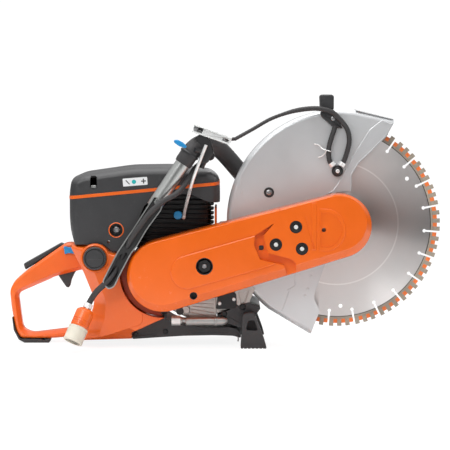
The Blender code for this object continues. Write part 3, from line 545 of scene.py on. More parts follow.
def dress(node, finish, bevel=0.4):
    """Show a CAD node with softened edges and its finish."""
    obj = frame["nodes"][node]
    if "custom_normal" in obj.data.attributes:
        obj.data.attributes.remove(obj.data.attributes["custom_normal"])
    for face in obj.data.polygons:
        face.use_smooth = True
    weld = obj.modifiers.new("Weld", "WELD")
    weld.merge_threshold = 1e-5
    edge = obj.modifiers.new("Bevel", "BEVEL")
    edge.width = bevel * MM
    edge.segments = 2
    edge.limit_method = "ANGLE"
    edge.angle_limit = math.radians(40.0)
    split = obj.modifiers.new("Split", "EDGE_SPLIT")
    split.split_angle = math.radians(32.0)
    for slot in obj.material_slots:
        slot.material = FINISHES[finish]


def screw(name, x, y, z, radius, finish="steel", turn=0.0, height=2.5, socket=0.55, body="machine"):
    """A button-head screw facing the belt side, with a hexagon socket."""
    head = lathe([(0, 0), (radius, 0), (radius, height * 0.4), (radius * 0.86, height * 0.8),
                  (radius * 0.6, height), (0, height)], (x, y, z), 28, (0, -1, 0))
    hole = prism(hexagon(x, z, radius * 2 * socket, turn), y - height - 1, y - height * 0.35)
    return place(name, head, finish, body=body, cuts=[hole], bevel=0.15, steps=1)


# --- cutting disc

BORE_R = 12.7
CORE_HALF = 1.2
PIN_HOLE_R = 3.4
PIN_HOLE_RING_R = 141.0
SEGMENTS = 24
PITCH = 360.0 / SEGMENTS
FIRST_SLOT = 10.3
SLOT_HALF = 1.65
SLOT_BASE_R = DISC_R - 26.0
KEYHOLE_R = 3.0
TOOTH_BASE_R = RIM_R + 3.0


def round_spindle(radius, angle, sideways=0.0):
    """A point at radius and angle in degrees about the spindle, stepped sideways."""
    a = math.radians(angle)
    return (SPINDLE.x + radius * math.cos(a) - sideways * math.sin(a),
            SPINDLE.z + radius * math.sin(a) + sideways * math.cos(a))


def ring_piece(r0, r1, a0, a1, half_thick, steps=3):
    """A block of a ring round the spindle, centred on the disc."""
    outline = arc(SPINDLE.x, SPINDLE.z, r1, a0, a1, steps) + arc(SPINDLE.x, SPINDLE.z, r0, a1, a0, steps)
    return prism(outline, DISC_Y - half_thick, DISC_Y + half_thick)


def build_disc():
    """Slotted steel core, and a toothed segment on each of its stretches."""
    outline = []
    half_slot = math.degrees(SLOT_HALF / RIM_R)
    for s in range(SEGMENTS):
        a = FIRST_SLOT + s * PITCH
        outline.append(round_spindle(RIM_R, a, -SLOT_HALF))
        for k in range(9):
            turn = math.radians(-150.0 + 37.5 * k)
            outline.append(round_spindle(SLOT_BASE_R - KEYHOLE_R * math.cos(turn), a,
                                         KEYHOLE_R * math.sin(turn)))
        outline.append(round_spindle(RIM_R, a, SLOT_HALF))
        outline += arc(SPINDLE.x, SPINDLE.z, RIM_R, a + half_slot * 2, a + PITCH - half_slot * 2, 5)
    holes = [circle(SPINDLE.x, SPINDLE.z, BORE_R, 40)]
    holes += [circle(*round_spindle(PIN_HOLE_RING_R, a), PIN_HOLE_R, 20) for a in (32.8, 152.8, 272.8)]
    place("disc_core", prism(outline, DISC_Y - CORE_HALF, DISC_Y + CORE_HALF, holes), "disc_steel",
          ["cutting_disc"], body="cutting_shaft", centre=Vector((SPINDLE.x, DISC_Y, SPINDLE.z)))
    matrix, colour = [], []
    span = PITCH - 2 * math.degrees(SLOT_HALF / DISC_R)
    tooth = span / 6.0
    for s in range(SEGMENTS):
        a = FIRST_SLOT + s * PITCH + math.degrees(SLOT_HALF / DISC_R)
        matrix.append(ring_piece(RIM_R - 0.4, TOOTH_BASE_R, a, a + span, 1.6, 6))
        for k in range(3):
            left = a + 2 * k * tooth
            matrix.append(ring_piece(TOOTH_BASE_R - 0.3, DISC_R, left, left + tooth * 1.04, 1.6))
            colour.append(ring_piece(TOOTH_BASE_R - 0.2, DISC_R - 5.0, left + tooth, left + tooth * 2.02,
                                     1.5))
    place("disc_teeth", merge(*matrix), "segment_matrix", body="cutting_shaft")
    place("disc_teeth_inlay", merge(*colour), "segment_colour", body="cutting_shaft")


def build_spindle():
    low, high = node_box("outer_flange")
    base = (SPINDLE.x, 0.0, SPINDLE.z)
    flange = lathe([(12.6, low.y), (52.5, low.y), (52.5, low.y + 2.4), (51.3, low.y + 3.4),
                    (34, high.y - 0.8), (32, high.y), (12.6, high.y)], base, 96)
    place("clamp_flange", flange, "steel", ["outer_flange"], body="cutting_shaft")
    low, high = node_box("arbor_nut")
    nut = prism(hexagon(SPINDLE.x, SPINDLE.z, 32.0), low.y, high.y, [circle(SPINDLE.x, SPINDLE.z, 10.0, 40)])
    crown = lathe([(0, low.y - 1), (17.2, low.y - 1), (19.0, low.y + 1.2), (19.0, high.y - 1.2),
                   (16.4, high.y + 1), (0, high.y + 1)], base, 64)
    place("flange_nut", nut, "steel", ["arbor_nut"], body="cutting_shaft", keeps=[crown], bevel=0.3, steps=1)
    for node in ("spindle", "inner_flange"):
        dress(node, "steel")
    dress("spindle_pulley", "cast_magnesium")


# --- guard

GUARD_R = 190.0
GUARD_X, GUARD_Z = SPINDLE.x + 3.0, SPINDLE.z + 3.5
NEAR_SHEET = GUARD_LOW.y
FAR_SHEET = GUARD_HIGH.y
MOUTH_LOWER = [(91, 48), (144, 17), (158, 53), (160, 60), (151, 79), (151, 88), (168, 135)]
MOUTH_UPPER = [(213, 265), (213, 288), (225, 309), (248, 331), (271, 354)]


def guard_arc(radius, a0, a1, count=72):
    return arc(GUARD_X, GUARD_Z, radius, a0, a1, count)


def guard_block(wall=0.0, soft=9.0):
    """The guard before its mouth is cut: round at the back, straight flares past both tips."""
    outline = guard_arc(GUARD_R - wall, 83, 231) + [(171, 3.5 + wall), (300, 206), (330, 372.7 - wall)]
    return slab(outline, NEAR_SHEET + wall, FAR_SHEET - wall, soft - wall, soft - wall, 6)


def build_guard():
    """Guard shell with its seams, the flares of its nose, a hem, small stampings and a stop screw."""
    window = [(60, 20), (93, 44.5), (144, 17.5), *MOUTH_LOWER[2:], *MOUTH_UPPER, (287, 383), (219, 404),
              (190, 420), (-20, 420), (-20, 20)]
    hub = pin(54.0, SPINDLE.x, SPINDLE.z, NEAR_SHEET - 5, FAR_SHEET + 5, 72)
    seams = []
    for side in (NEAR_SHEET, FAR_SHEET):
        seams.append(sweep(smooth_route([(89, side, 40), (99, side, 67), (108, side, 92.5)], 4.0), 0.8,
                           count=8))
        seams.append(sweep(smooth_route([(105, side, 95.5), (118, side, 103), (117, side, 114),
                                         (121, side, 130)], 3.0), 0.8, count=8))
    place("guard_shell", guard_block(), "silver_paint", ["disc_guard"], body="guard",
          keeps=[prism(window, NEAR_SHEET - 5, FAR_SHEET + 5)], cuts=[guard_block(1.8), hub, *seams],
          bevel=0.35, steps=1, sharp=26.0)
    nose = [(263, 382), (281.5, 375), (270, 356), (247.5, 332.5), (224.5, 310.5), (212, 290), (212, 262),
            (176, 258), (172, 257), (181, 263), (192, 278), (199, 292), (222, 333), (243, 366)]
    for side, way in ((NEAR_SHEET, -1), (FAR_SHEET, 1)):
        y0, y1 = sorted((side + 1.4 * way, side - 0.5 * way))
        name, near, far = ("guard_nose_near", 1.3, 0.0) if way < 0 else ("guard_nose_far", 0.0, 1.3)
        place(name, slab(nose, y0, y1, near, far, 3, 2.0), "silver_paint", body="guard")
    hem = [(220, 399.0), (283, 383.4), (283, 382.0), (220, 397.0)]
    place("guard_hem", prism(hem, NEAR_SHEET + 1, FAR_SHEET - 1), "silver_paint", body="guard", bevel=0.3,
          steps=1)
    bars = []
    for x, z in ((26, 275), (28, 262)):
        ear = rounded([(x - 3, z - 6), (x + 1, z - 6), (x + 3, z + 6), (x - 1, z + 6)], 2)
        bars.append(slab(ear, NEAR_SHEET - 0.8, NEAR_SHEET + 0.4, 0.7, 0.0, 2))
    for x, z in ((145, 118.6), (140, 96.7), (135, 84.8)):
        bars.append(lathe([(0, -0.7), (1.6, -0.7), (2.6, 0.3), (0, 0.3)], (x, NEAR_SHEET, z), 20))
    place("guard_stampings", merge(*bars), "silver_paint", body="guard")
    dish = lathe([(5.0, 0.4), (8.6, 0.4), (8.6, -0.6), (7.8, -1.2), (6.0, -1.2), (5.0, -0.6)],
                 (74, NEAR_SHEET, 260), 32)
    place("guard_stop_washer", dish, "black_plastic", body="guard")
    screw("guard_stop_screw", 74, NEAR_SHEET, 260, 4.6, "steel", 12, body="guard")


def build_guard_handle():
    low, high = node_box("guard_handle")
    grip = rounded([(161.5, 396.6), (182.5, 398.8), (182.5, 422), (179, 424.5), (163, 424.5), (160.5, 422)],
                   3.0, 4)
    ribs = []
    for k in range(9):
        y = low.y + 7.0 + k * (high.y - low.y - 14.0) / 8.0
        ribs.append(rod(1.1, (159.6, y, 392), (159.6, y, 428), 10))
        ribs.append(rod(1.1, (158, y, 425.4), (188, y, 425.4), 10))
    place("guard_grip", slab(grip, low.y, high.y, 3.0, 3.0, 3), "dark_plastic", ["guard_handle"],
          body="guard", cuts=ribs, bevel=0.3, steps=1)
    cheek = rounded([(159, 396), (161, 387), (182, 369), (197.5, 367), (190, 384), (184.5, 398)], 3.0, 3)
    for name, y0, y1 in (("guard_grip_cheek_near", low.y + 0.6, NEAR_SHEET - 0.2),
                         ("guard_grip_cheek_far", FAR_SHEET + 0.2, high.y - 0.6)):
        near, far = (2.0, 0.0) if y1 < DISC_Y else (0.0, 2.0)
        place(name, slab(cheek, y0, y1, near, far, 3), "dark_plastic", body="guard")
    screw("guard_grip_screw", 181, low.y + 0.8, 384, 3.6, "steel", 20, 1.6, body="guard")


def build_nozzles():
    for name, node, way in (("spray_nozzle_near", "water_nozzle_near", -1),
                            ("spray_nozzle_far", "water_nozzle_far", 1)):
        low, high = node_box(node)
        base = (189, high.y if way < 0 else low.y, 296)
        body = lathe([(0, 0), (9.2, 0), (9.6, 0.8), (9.6, 3.6), (8.6, 4.6), (6.2, 5.2), (5.8, 7.6),
                      (4.2, 8.4), (0, 8.4)], base, 40, (0, way, 0))
        place(name, body, "black_plastic", [node], body="guard")
    low, _ = node_box("water_nozzle_near")
    screw("spray_nozzle_screw", 189, low.y + 0.4, 296, 3.4, "zinc", 0, 1.8, body="guard")
    for name, x, z in (("spray_hose_clamp_rear", 180.0, 307.5), ("spray_hose_clamp_front", 196.3, 307.5)):
        way = Vector((189 - x, 0, 296 - z)).normalized()
        ring = lathe(rectangle(4.6, -3.4, 5.6, 3.4), (x, -57.0, z), 28, way)
        place(name, ring, "zinc", body="guard", bevel=0.2, steps=1)


def build_wire_clip():
    """Bent spring wire that holds the branch hose on the guard."""
    y = NEAR_SHEET - 1.4
    route = [(150, y, 341), (157, y - 1, 340), (163, y - 3, 334), (170, y - 7.5, 331), (174.5, y - 10, 330),
             (177, y - 8, 329)]
    place("hose_clip_upper", sweep(smooth_route(route, 1.6), 0.9, count=10), "zinc", body="guard")
    route = [(157, y, 319), (161, y - 1, 320), (166, y - 3, 324), (170, y - 6, 330)]
    place("hose_clip_lower", sweep(smooth_route(route, 1.6), 0.9, count=10), "zinc", body="guard")


# --- belt covers

FRONT_R = node_box("front_belt_cover")[1].z - SPINDLE.z - 1.0
REAR_X, REAR_Z, REAR_R = -103.0, 124.0, 60.0
NUT_SPOT = (-34.0, 141.0)
PLUG_SPOT = (-52, 92)
ARM_BOLTS = [(117, 206), (84, 177), (127, 170)]
PANEL_R = 28.0
FACE = COVER_LOW.y
BACK = COVER_HIGH.y
GROOVE_OUTER = [(86, 262), (92, 219), (49, 192), (48, 176), (58, 152), (97, 143), (112, 100)]
GROOVE_INNER = [(94, 262), (90, 222), (64, 192), (71, 163), (110, 153), (117, 146), (122, 100)]


def arm_ring(rise, shrink, count=30):
    """Tapered capsule of the belt covers, moved square to the arm and shrunk."""
    lean = math.degrees(ARM_ANGLE)
    dx = -math.sin(ARM_ANGLE) * rise
    dz = math.cos(ARM_ANGLE) * rise
    front = arc(SPINDLE.x + dx, SPINDLE.z + 1 + dz, FRONT_R - shrink, lean - 90.0, lean + 90.0, count)
    rear = arc(REAR_X + dx, REAR_Z + dz, REAR_R - shrink, lean + 90.0, lean + 270.0, count)
    return front + rear


def arm_body():
    """Covers' solid: flat face, wide chamfer along the bottom, small round along the top."""
    return loft([(FACE, arm_ring(5.2, 8.6)), (FACE + 0.5, arm_ring(5.2, 7.5)),
                 (FACE + 1.6, arm_ring(5.0, 6.6)), (FACE + 4.0, arm_ring(3.9, 4.5)),
                 (FACE + 8.0, arm_ring(1.3, 1.6)), (FACE + 9.4, arm_ring(0.5, 0.6)),
                 (FACE + 11.5, arm_ring(0.0, 0.0)), (BACK, arm_ring(0.0, 0.0))])


def on_face(spot):
    """An (x, z) spot on the covers' face."""
    return (spot[0], FACE, spot[1])


def arm_hollow():
    """Room behind the thick face of the covers, for the belt."""
    return prism(arm_ring(0.0, 3.0), FACE + 12.0, BACK + 5.0)


def cover_well(spot, radius, count):
    """A through hole for what sits in the face of a cover."""
    return pin(radius, *spot, FACE - 6, BACK, count)


def build_rear_cover():
    """Rear cover with its raised panel. It stops at a stepped groove."""
    beyond_outer = [*GROOVE_OUTER, (112, 20), (290, 20), (290, 300), (86, 300)]
    beyond_inner = [*GROOVE_INNER, (122, 20), (290, 20), (290, 300), (94, 300)]
    lean = math.degrees(ARM_ANGLE)
    front = arc(66, 131 + 128 * math.tan(ARM_ANGLE), PANEL_R, lean - 90, lean + 90, 16)
    rear = arc(-62, 131, PANEL_R, lean + 90, lean + 270, 16)
    raised = slab(front + rear, FACE - 1.9, FACE + 2.0, 1.9, 0.0, 3)
    steps_off = [prism(beyond_outer, FACE - 6, FACE + 10.0), prism(beyond_inner, FACE - 6, BACK + 6)]
    plug_hole = prism(rounded(rectangle(56, 167, 64, 175), 2.5, 3), FACE, BACK)
    wells = [cover_well(NUT_SPOT, 14.3, 48), cover_well(PLUG_SPOT, 6.4, 32), plug_hole]
    place("rear_cover", arm_body(), "orange_paint", ["rear_belt_cover"], joins=[raised],
          cuts=[*steps_off, arm_hollow(), *wells], bevel=0.9, steps=2)
    cup = lathe([(0, 11.5), (11, 11.5), (11, 9.0), (13.0, 8.0), (13.2, 0.4), (14.1, 0.0), (14.1, 13.0),
                 (0, 13.0)], on_face(NUT_SPOT), 48)
    place("tensioner_cup", cup, "black_plastic")
    plug = lathe([(0, 12), (5.4, 12), (5.6, 0.5), (6.3, 0.0), (6.3, 14), (0, 14)], on_face(PLUG_SPOT), 32)
    place("cover_rear_plug", plug, "black_plastic")
    groove_plug = prism(rounded(rectangle(56.2, 167.2, 63.8, 174.8), 2.5, 3), FACE + 12, FACE + 15)
    place("groove_plug", groove_plug, "black_plastic")


def build_front_cover():
    """Front cover, with a rib, a dished dome and three bolt wells."""
    rib = slab(rounded(rectangle(143, 168, 151, 246), 2.0), FACE - 1.0, FACE + 2.0, 1.0, 0.0, 3)
    dome = arc(163, 201, 36.0, -76, 76, 24) + [(156, 236), (156, 166)]
    dish = arc(163, 201, 30.0, -72, 72, 24) + [(158, 229), (158, 173)]
    before_inner = [(x - 0.4, z) for x, z in GROOVE_INNER]
    before_inner += [(121.6, 20), (-190, 20), (-190, 300), (93.6, 300)]
    plate_edge = [(131, 223), (133.4, 223), (148.4, 170), (146, 170)]
    wells = [pin(10.3, x, z, FACE - 6, FACE + 2.4, 40) for x, z in ARM_BOLTS]
    cuts = [prism(before_inner, FACE - 6, BACK + 6), arm_hollow(), slab(dish, FACE - 3.0, FACE + 0.6),
            cover_well((163, 201), 3.5, 24), *wells, slab(plate_edge, FACE - 6, FACE + 0.5)]
    place("front_cover", arm_body(), "orange_paint", ["front_belt_cover"],
          joins=[rib, slab(dome, FACE - 0.9, FACE + 2.0, 0.9, 0.0, 3)], cuts=cuts, bevel=0.7, steps=2)
    for k, spot in enumerate(ARM_BOLTS):
        build_arm_bolt(k, spot)


def build_arm_bolt(k, spot):
    tray = [(0, 2.2), (9.2, 2.2), (9.5, 0.2), (10.2, -0.3), (10.2, 3.4), (0, 3.4)]
    place(f"arm_bolt_tray_{k}", lathe(tray, on_face(spot), 40), "black_plastic")
    ring = [(0, 2.2), (8.0, 2.2), (8.0, 1.4), (6.6, 0.9), (0, 0.9)]
    place(f"arm_bolt_flange_{k}", lathe(ring, on_face(spot), 36), "black_paint")
    nut = prism(hexagon(*spot, 12.0, 20 * k), FACE - 2.2, FACE + 1.2, [circle(*spot, 3.7, 24)])
    place(f"arm_bolt_nut_{k}", nut, "black_paint", bevel=0.5)
    stud = [(0, -2.6), (2.9, -2.6), (3.6, -1.8), (3.6, 1.0), (0, 1.0)]
    place(f"arm_bolt_stud_{k}", lathe(stud, on_face(spot), 24), "zinc")


def build_tensioner():
    low, _ = node_box("belt_tensioner")
    x, z = NUT_SPOT
    nut = prism(hexagon(x, z, 19.0, 18), low.y, low.y + 9.0)
    crown = lathe([(0, -1), (9.2, -1), (11.0, 1.2), (11.0, 12), (0, 12)], (x, low.y, z), 40)
    place("tensioner_nut", nut, "black_paint", ["belt_tensioner"], keeps=[crown],
          cuts=[pin(4.3, x, z, low.y - 2, low.y + 3, 24)], bevel=0.3, steps=1)
    stud = lathe([(0, -0.6), (3.0, -0.6), (4.0, 0.4), (4.0, 5.0), (0, 5.0)], (x, low.y, z), 24)
    place("tensioner_stud", stud, "steel", cuts=[prism(hexagon(x, z, 3.6, 0), low.y - 2, low.y + 1.2)])


# --- tank and rear handle

CAP_LOW, CAP_HIGH = node_box("fuel_cap")
CAP_X = 0.5 * (CAP_LOW.x + CAP_HIGH.x)
CAP_Z = 0.5 * (CAP_LOW.z + CAP_HIGH.z)


NEAR = TANK_LOW.y
TRIGGER_SLOT = [(-298, 103), (-246, 110), (-244, 148), (-258, 152), (-296, 128)]
HANDLE_HALF = 17.0


def arm_nest():
    """Room in the tank for the round rear end of the belt covers."""
    return pin(73.0, REAR_X, REAR_Z, NEAR - 5, -60.0, 96)


def build_tank():
    """Fuel tank: a wide body that steps in to a narrower near face."""
    body = anticlockwise([(-262, 173), (-239, 128), (-220, 80), (-226, 50), (-262, 26), (-262, 10),
                          (-132, 14), (-132, 130), (-150, 150), (-165, 160), (-190, 161), (-205, 173)])
    face = anticlockwise([(-236, 165), (-219, 128), (-200, 80), (-202, 50), (-210, 28), (-209, 18),
                          (-138, 41), (-138, 128), (-155, 146), (-167, 155), (-190, 156), (-203, 165)])
    far = TANK_HIGH.y
    levels = [(NEAR, face, 0.8, 7.0), (NEAR + 0.8, face, 0.0, 8.0), (NEAR + 20.0, body, 0.8, 9.0),
              (NEAR + 25.0, body, 0.0, 9.0), (far - 12, body, 0.0, 9.0), (far - 4, body, 2.0, 9.0),
              (far, body, 6.0, 9.0)]
    solid = loft([(y, rounded(inset(outline, shrink), soft)) for y, outline, shrink, soft in levels])
    seat = prism([(-157.3, 0), (-100, 0), (-100, 50), (-157.3, 25.5)], NEAR - 10, 95.0)
    neck = pin(15.5, CAP_X, CAP_Z, NEAR - 10, -50.0, 40)
    place("tank", solid, "orange_plastic", bevel=1.2, steps=2,
          cuts=[arm_nest(), seat, neck, prism(TRIGGER_SLOT, -8.0, 8.0)])
    apron = [(-172, 40), (-151, 28.6), (-102, 50.6), (-100, 58), (-140, 80), (-172, 80)]
    place("tank_apron", slab(apron, NEAR + 1.0, -63.0, 2.0, 0.0, 2), "orange_plastic", cuts=[arm_nest()])


def build_rear_handle():
    """Loop handle with an eased window, and slots for the trigger and the lockout."""
    outer = rounded([(-250, 170), (-271, 173), (-341, 124), (-361, 106), (-369, 90), (-366, 58), (-359, 21),
                     (-351, 7.5), (-300, 7.2), (-240, 12), (-225, 60), (-225, 120)], 12.0, 5)
    inner = anticlockwise(rounded([(-238, 29), (-270, 24), (-331, 16.5), (-347, 24), (-355, 85),
                                   (-290, 113.5), (-240, 126), (-220, 80)], 9.0, 5))
    half = HANDLE_HALF
    flare = [(half + 4, -9.0), (half, -6.5), (half - 9, -0.8), (half - 12, 0.0)]
    levels = [(-y, grow) for y, grow in flare] + flare[::-1]
    window = loft([(y, inset(inner, grow)) for y, grow in levels])
    lock_slot = prism([(-354, 126), (-341, 115), (-271, 160), (-262, 190), (-354, 190)], -9.5, 9.5)
    mask = [(-226, 0), (-226, 46), (-219, 80), (-237, 128), (-246, 135), (-246, 180), (-400, 180), (-400, 0)]
    place("rear_handle", slab(outer, -half, half, 6.0, 6.0, 5), "orange_plastic", ["fuel_tank_rear_handle"],
          keeps=[prism(mask, -30, 30)], cuts=[window, lock_slot, prism(TRIGGER_SLOT, -8.0, 8.0)], bevel=0.8,
          steps=2)


def build_fuel_cap():
    collar = lathe([(20.0, -1.0), (21.6, -2.6), (23.4, -1.6), (24.6, 3.0), (15.0, 3.0), (15.0, -1.0)],
                   (CAP_X, NEAR, CAP_Z), 64)
    place("tank_neck_ring", collar, "orange_plastic")
    cap = lathe([(0, 12), (13.0, 12), (13.4, -0.4), (19.2, -0.4), (19.5, -1.0), (19.5, -4.6), (18.6, -5.8),
                 (17.2, -6.2), (16.6, -6.0), (16.3, -3.6), (15.2, -3.6), (14.8, -5.4), (0, -5.8)],
                (CAP_X, NEAR, CAP_Z), 72)
    notches = []
    for x, z in circle(CAP_X, CAP_Z, 20.1, 24):
        notches.append(pin(1.1, x, z, NEAR - 8, NEAR - 0.8, 8))
    for a in (62.0, 252.0):
        x, z = arc(CAP_X, CAP_Z, 16.6, a, a, 1)[0]
        notches.append(pin(1.6, x, z, NEAR - 8, NEAR - 4.4, 10))
    place("filler_cap", cap, "dark_plastic", ["fuel_cap"], body="cap", cuts=notches, bevel=0.25, steps=1)
    bar = rounded(rectangle(CAP_X - 12, CAP_Z - 2, CAP_X + 12, CAP_Z + 2), 1.8, 3)
    place("filler_cap_bar", slab(bar, NEAR - 6.3, NEAR - 5.0, 0.7, 0.0, 2), "dark_plastic", body="cap")


def build_controls():
    """Throttle lockout, trigger and choke."""
    lock = rounded([(-346, 135), (-342.5, 124.5), (-278, 165), (-276, 168.5), (-281, 171.5)], 3.0, 4)
    place("lockout_lever", slab(lock, -8.5, 8.5, 2.5, 2.5, 3), "dark_plastic", ["throttle_lockout"],
          body="lockout")
    trigger = rounded([(-287, 116), (-283, 121), (-262, 135), (-254, 136), (-250, 130), (-259, 118),
                       (-264, 107), (-266, 97), (-269, 93.5), (-273, 95)], 3.0, 4)
    place("trigger_lever", slab(trigger, -7.0, 7.0, 2.2, 2.2, 3), "dark_plastic", ["throttle_trigger"],
          body="trigger")
    low, high = node_box("choke_control")
    latch = rounded([(-275.5, 166.5), (-273.5, 152.5), (-266, 155), (-255, 153), (-251.5, 155),
                     (-254.5, 167.5), (-264.5, 164.5)], 1.5, 3)
    place("choke_knob", slab(latch, low.y, high.y, 1.0, 0.0, 3), "blue_plastic", ["choke_control"],
          body="choke")


def build_rear_bumper():
    pad = [(-365, 44), (-362.5, 22), (-354, 5.5), (-344, 0.0), (-302, 0.0), (-300, 7.0), (-306, 6.4),
           (-311, 4.2), (-316, 6.4), (-351, 6.9), (-359, 21), (-364, 44)]
    place("rear_bumper", slab(pad, -18.0, 18.0, 1.0, 1.0, 2), "rubber", ["rear_foot_pad"], bevel=0.4,
          steps=1)


# --- covers over the engine

SHELL_NEAR, SHELL_FAR = SHELL_LOW.y, SHELL_HIGH.y
STRIPE_LEFT, STRIPE_RIGHT = (-262.0, 252.0), (-9.0, 276.0)
COVER_SCREW = (-182, 198)


def stripe_z(x, offset):
    share = (x - STRIPE_LEFT[0]) / (STRIPE_RIGHT[0] - STRIPE_LEFT[0])
    return STRIPE_LEFT[1] + share * (STRIPE_RIGHT[1] - STRIPE_LEFT[1]) + offset


def shell_body(grow=0.0):
    """Engine cover as one rounded box, before the stripe and the lower edge cut it."""
    outline = anticlockwise([(-254, 140), (-262, 215), (-262, 262), (-258, 284), (-240, 292.4),
                             (-158, 304.2), (-88, 305.2), (-24, 297), (-10, 284), (-8.6, 262), (-8.6, 140)])
    depth = SHELL_FAR - SHELL_NEAR + 2 * grow
    rings = []
    soft = [(0.0, 15.0), (0.006, 11.4), (0.02, 8.0), (0.045, 4.9), (0.085, 2.2), (0.14, 0.6), (0.21, 0.0)]
    for share, shrink in soft + [(round(1.0 - share, 3), shrink) for share, shrink in reversed(soft)]:
        rings.append((SHELL_NEAR - grow + share * depth, rounded(inset(outline, shrink - grow), 14.0, 5)))
    return loft(rings)


def build_covers():
    """Top cover, trim band and side cover, cut from one shell."""
    above = [(-300, stripe_z(-300, 2.9)), (40, stripe_z(40, 2.9)), (40, 340), (-300, 340)]
    band = [(-300, stripe_z(-300, -2.7)), (40, stripe_z(40, -2.7)), (40, stripe_z(40, 2.7)),
            (-300, stripe_z(-300, 2.7))]
    below = [(-300, stripe_z(-300, -2.9)), (-300, 215), (-262, 206), (-252, 173.5), (-206, 174.5),
             (-196, 168), (-189, 162.3), (-167, 161.5), (-135, 238), (-122, 252), (-104, 258), (-62, 258),
             (-52, 256), (-40, 250), (-30, 246), (-16, 244), (40, 244), (40, stripe_z(40, -2.9))]
    y0, y1 = SHELL_NEAR - 6, SHELL_FAR + 6
    slot = prism(rounded(rectangle(-225, 268, -214, 289), 4.0, 4), y0, SHELL_NEAR + 10)
    place("top_cover", shell_body(), "dark_plastic", ["upper_engine_cover"], keeps=[prism(above, y0, y1)],
          cuts=[shell_body(-4.0), slot], bevel=0.8, steps=2)
    place("cover_stripe", shell_body(0.5), "orange_plastic", ["cover_trim_band"],
          keeps=[prism(band, y0, y1)], cuts=[shell_body(-3.6)], bevel=0.5, steps=1)
    x, z = COVER_SCREW
    hole = pin(12.8, x, z, y0, SHELL_NEAR + 12, 40)
    dot = pin(2.4, -195, 178, y0, SHELL_NEAR + 8, 20)
    place("side_cover", shell_body(), "dark_plastic", ["lower_engine_cover"], keeps=[prism(below, y0, y1)],
          cuts=[shell_body(-4.0), hole, dot], bevel=0.8, steps=2)
    build_cover_screw()
    build_label()


def build_cover_screw():
    x, z = COVER_SCREW
    lip = lathe([(11.2, -0.5), (12.2, -0.8), (12.9, -0.4), (12.9, 0.3), (12.6, 0.3), (12.6, 12.0),
                 (11.2, 12.0)], (x, SHELL_NEAR, z), 48)
    place("cover_screw_ring", lip, "orange_plastic")
    cup = lathe([(0, 10.0), (10.6, 10.0), (11.0, 0.2), (11.2, 0.2), (11.2, 11.4), (0, 11.4)],
                (x, SHELL_NEAR, z), 40)
    place("cover_screw_cup", cup, "black_plastic")
    screw("cover_screw", x, SHELL_NEAR + 9.6, z, 6.4, "steel", 10, 5.0, 0.5)
    tongue = slab(rounded(rectangle(-224, 268.6, -215, 273), 1.2, 2), SHELL_NEAR + 2.0, SHELL_NEAR + 6.0,
                  0.8, 0.0, 2)
    place("cover_latch", tongue, "aluminium")


def build_label():
    """Plain film with three generic marks."""
    turn = Matrix.Rotation(math.radians(-4.5), 4, "Y")
    at = Vector((-150.0, SHELL_NEAR - 0.35, 279.0))

    def film(name, outline, lift, finish):
        bm = prism(outline, -lift, 0.35)
        bmesh.ops.transform(bm, verts=bm.verts, matrix=Matrix.Translation(at) @ turn)
        place(name, bm, finish)

    film("cover_label", rounded(rectangle(-20.5, -6.6, 20.5, 6.6), 1.2, 3), 0.25, "label_film")
    film("cover_label_dot", circle(-2.0, 0.0, 3.6, 24), 0.32, "teal_film")
    film("cover_label_bar", [(-16, 3.0), (-14.8, 4.0), (-9, -3.0), (-10.2, -4.0)], 0.32, "dark_plastic")
    film("cover_label_cross", [(10, -1), (13, -1), (13, -4), (15, -4), (15, -1), (18, -1), (18, 1), (15, 1),
                               (15, 4), (13, 4), (13, 1), (10, 1)], 0.32, "dark_plastic")


# --- engine

FINS = 13


def fin_ring(half_x, half_y, count=56):
    """Rounded-rectangle ring with evenly turned points."""
    power = 7.0
    pts = []
    for i in range(count):
        a = 2.0 * math.pi * (i + 0.5) / count
        r = (abs(math.cos(a) / half_x) ** power + abs(math.sin(a) / half_y) ** power) ** (-1.0 / power)
        pts.append((r * math.cos(a), r * math.sin(a)))
    return pts


def build_cylinder():
    low, high = node_box("cylinder")
    half_x = 0.5 * (high.x - low.x)
    half_y = 0.5 * (high.y - low.y)
    core = fin_ring(half_x - 5.0, half_y - 6.0)
    foot = fin_ring(46, 44)
    stack = [(foot, low.z), (foot, low.z + 5.0)]
    pitch = (high.z - 1.0 - low.z - 8.0) / FINS
    for k in range(FINS):
        z = low.z + 8.0 + k * pitch
        stack += [(core, z), (fin_ring(half_x - 0.6, half_y - 0.6), z), (fin_ring(half_x, half_y), z + 0.5),
                  (fin_ring(half_x, half_y), z + 1.3), (fin_ring(half_x - 0.6, half_y - 0.6), z + 1.8),
                  (core, z + 2.4)]
    stack.append((core, high.z))
    bm = bmesh.new()
    rings = [[bm.verts.new((CRANK.x + x, y, height)) for x, y in ring] for ring, height in stack]
    for under, over in zip(rings, rings[1:]):
        for i in range(len(under)):
            j = (i + 1) % len(under)
            bm.faces.new((under[i], under[j], over[j], over[i]))
    bm.faces.new(rings[0])
    bm.faces.new(rings[-1])
    place("barrel", bm, "black_paint", ["cylinder"])


def build_engine():
    build_cylinder()
    high = node_box("decompression_button")[1]
    button = lathe([(0, 0), (4.0, 0), (4.0, 2.0), (6.6, 2.0), (7.2, 2.6), (7.2, 6.2), (6.2, 7.6),
                    (3.6, 8.2), (0, 8.2)], (-79, high.y, 222), 40, (0, -1, 0))
    place("decompression_knob", button, "blue_plastic", ["decompression_button"], body="decompression")
    for node in ("crankcase_left", "crankcase_right", "flywheel", "carburettor"):
        dress(node, "cast_magnesium", 0.8)
    for node in ("crankshaft", "clutch_drum", "muffler"):
        dress(node, "steel")
    dress("piston", "aluminium")
    dress("spark_plug_cap", "black_plastic")
    dress("heat_shield", "orange_paint")
    dress("air_filter", "filter_paper")
    dress("drive_belt", "rubber")
    dress("cutting_arm", "cast_magnesium", 1.0)


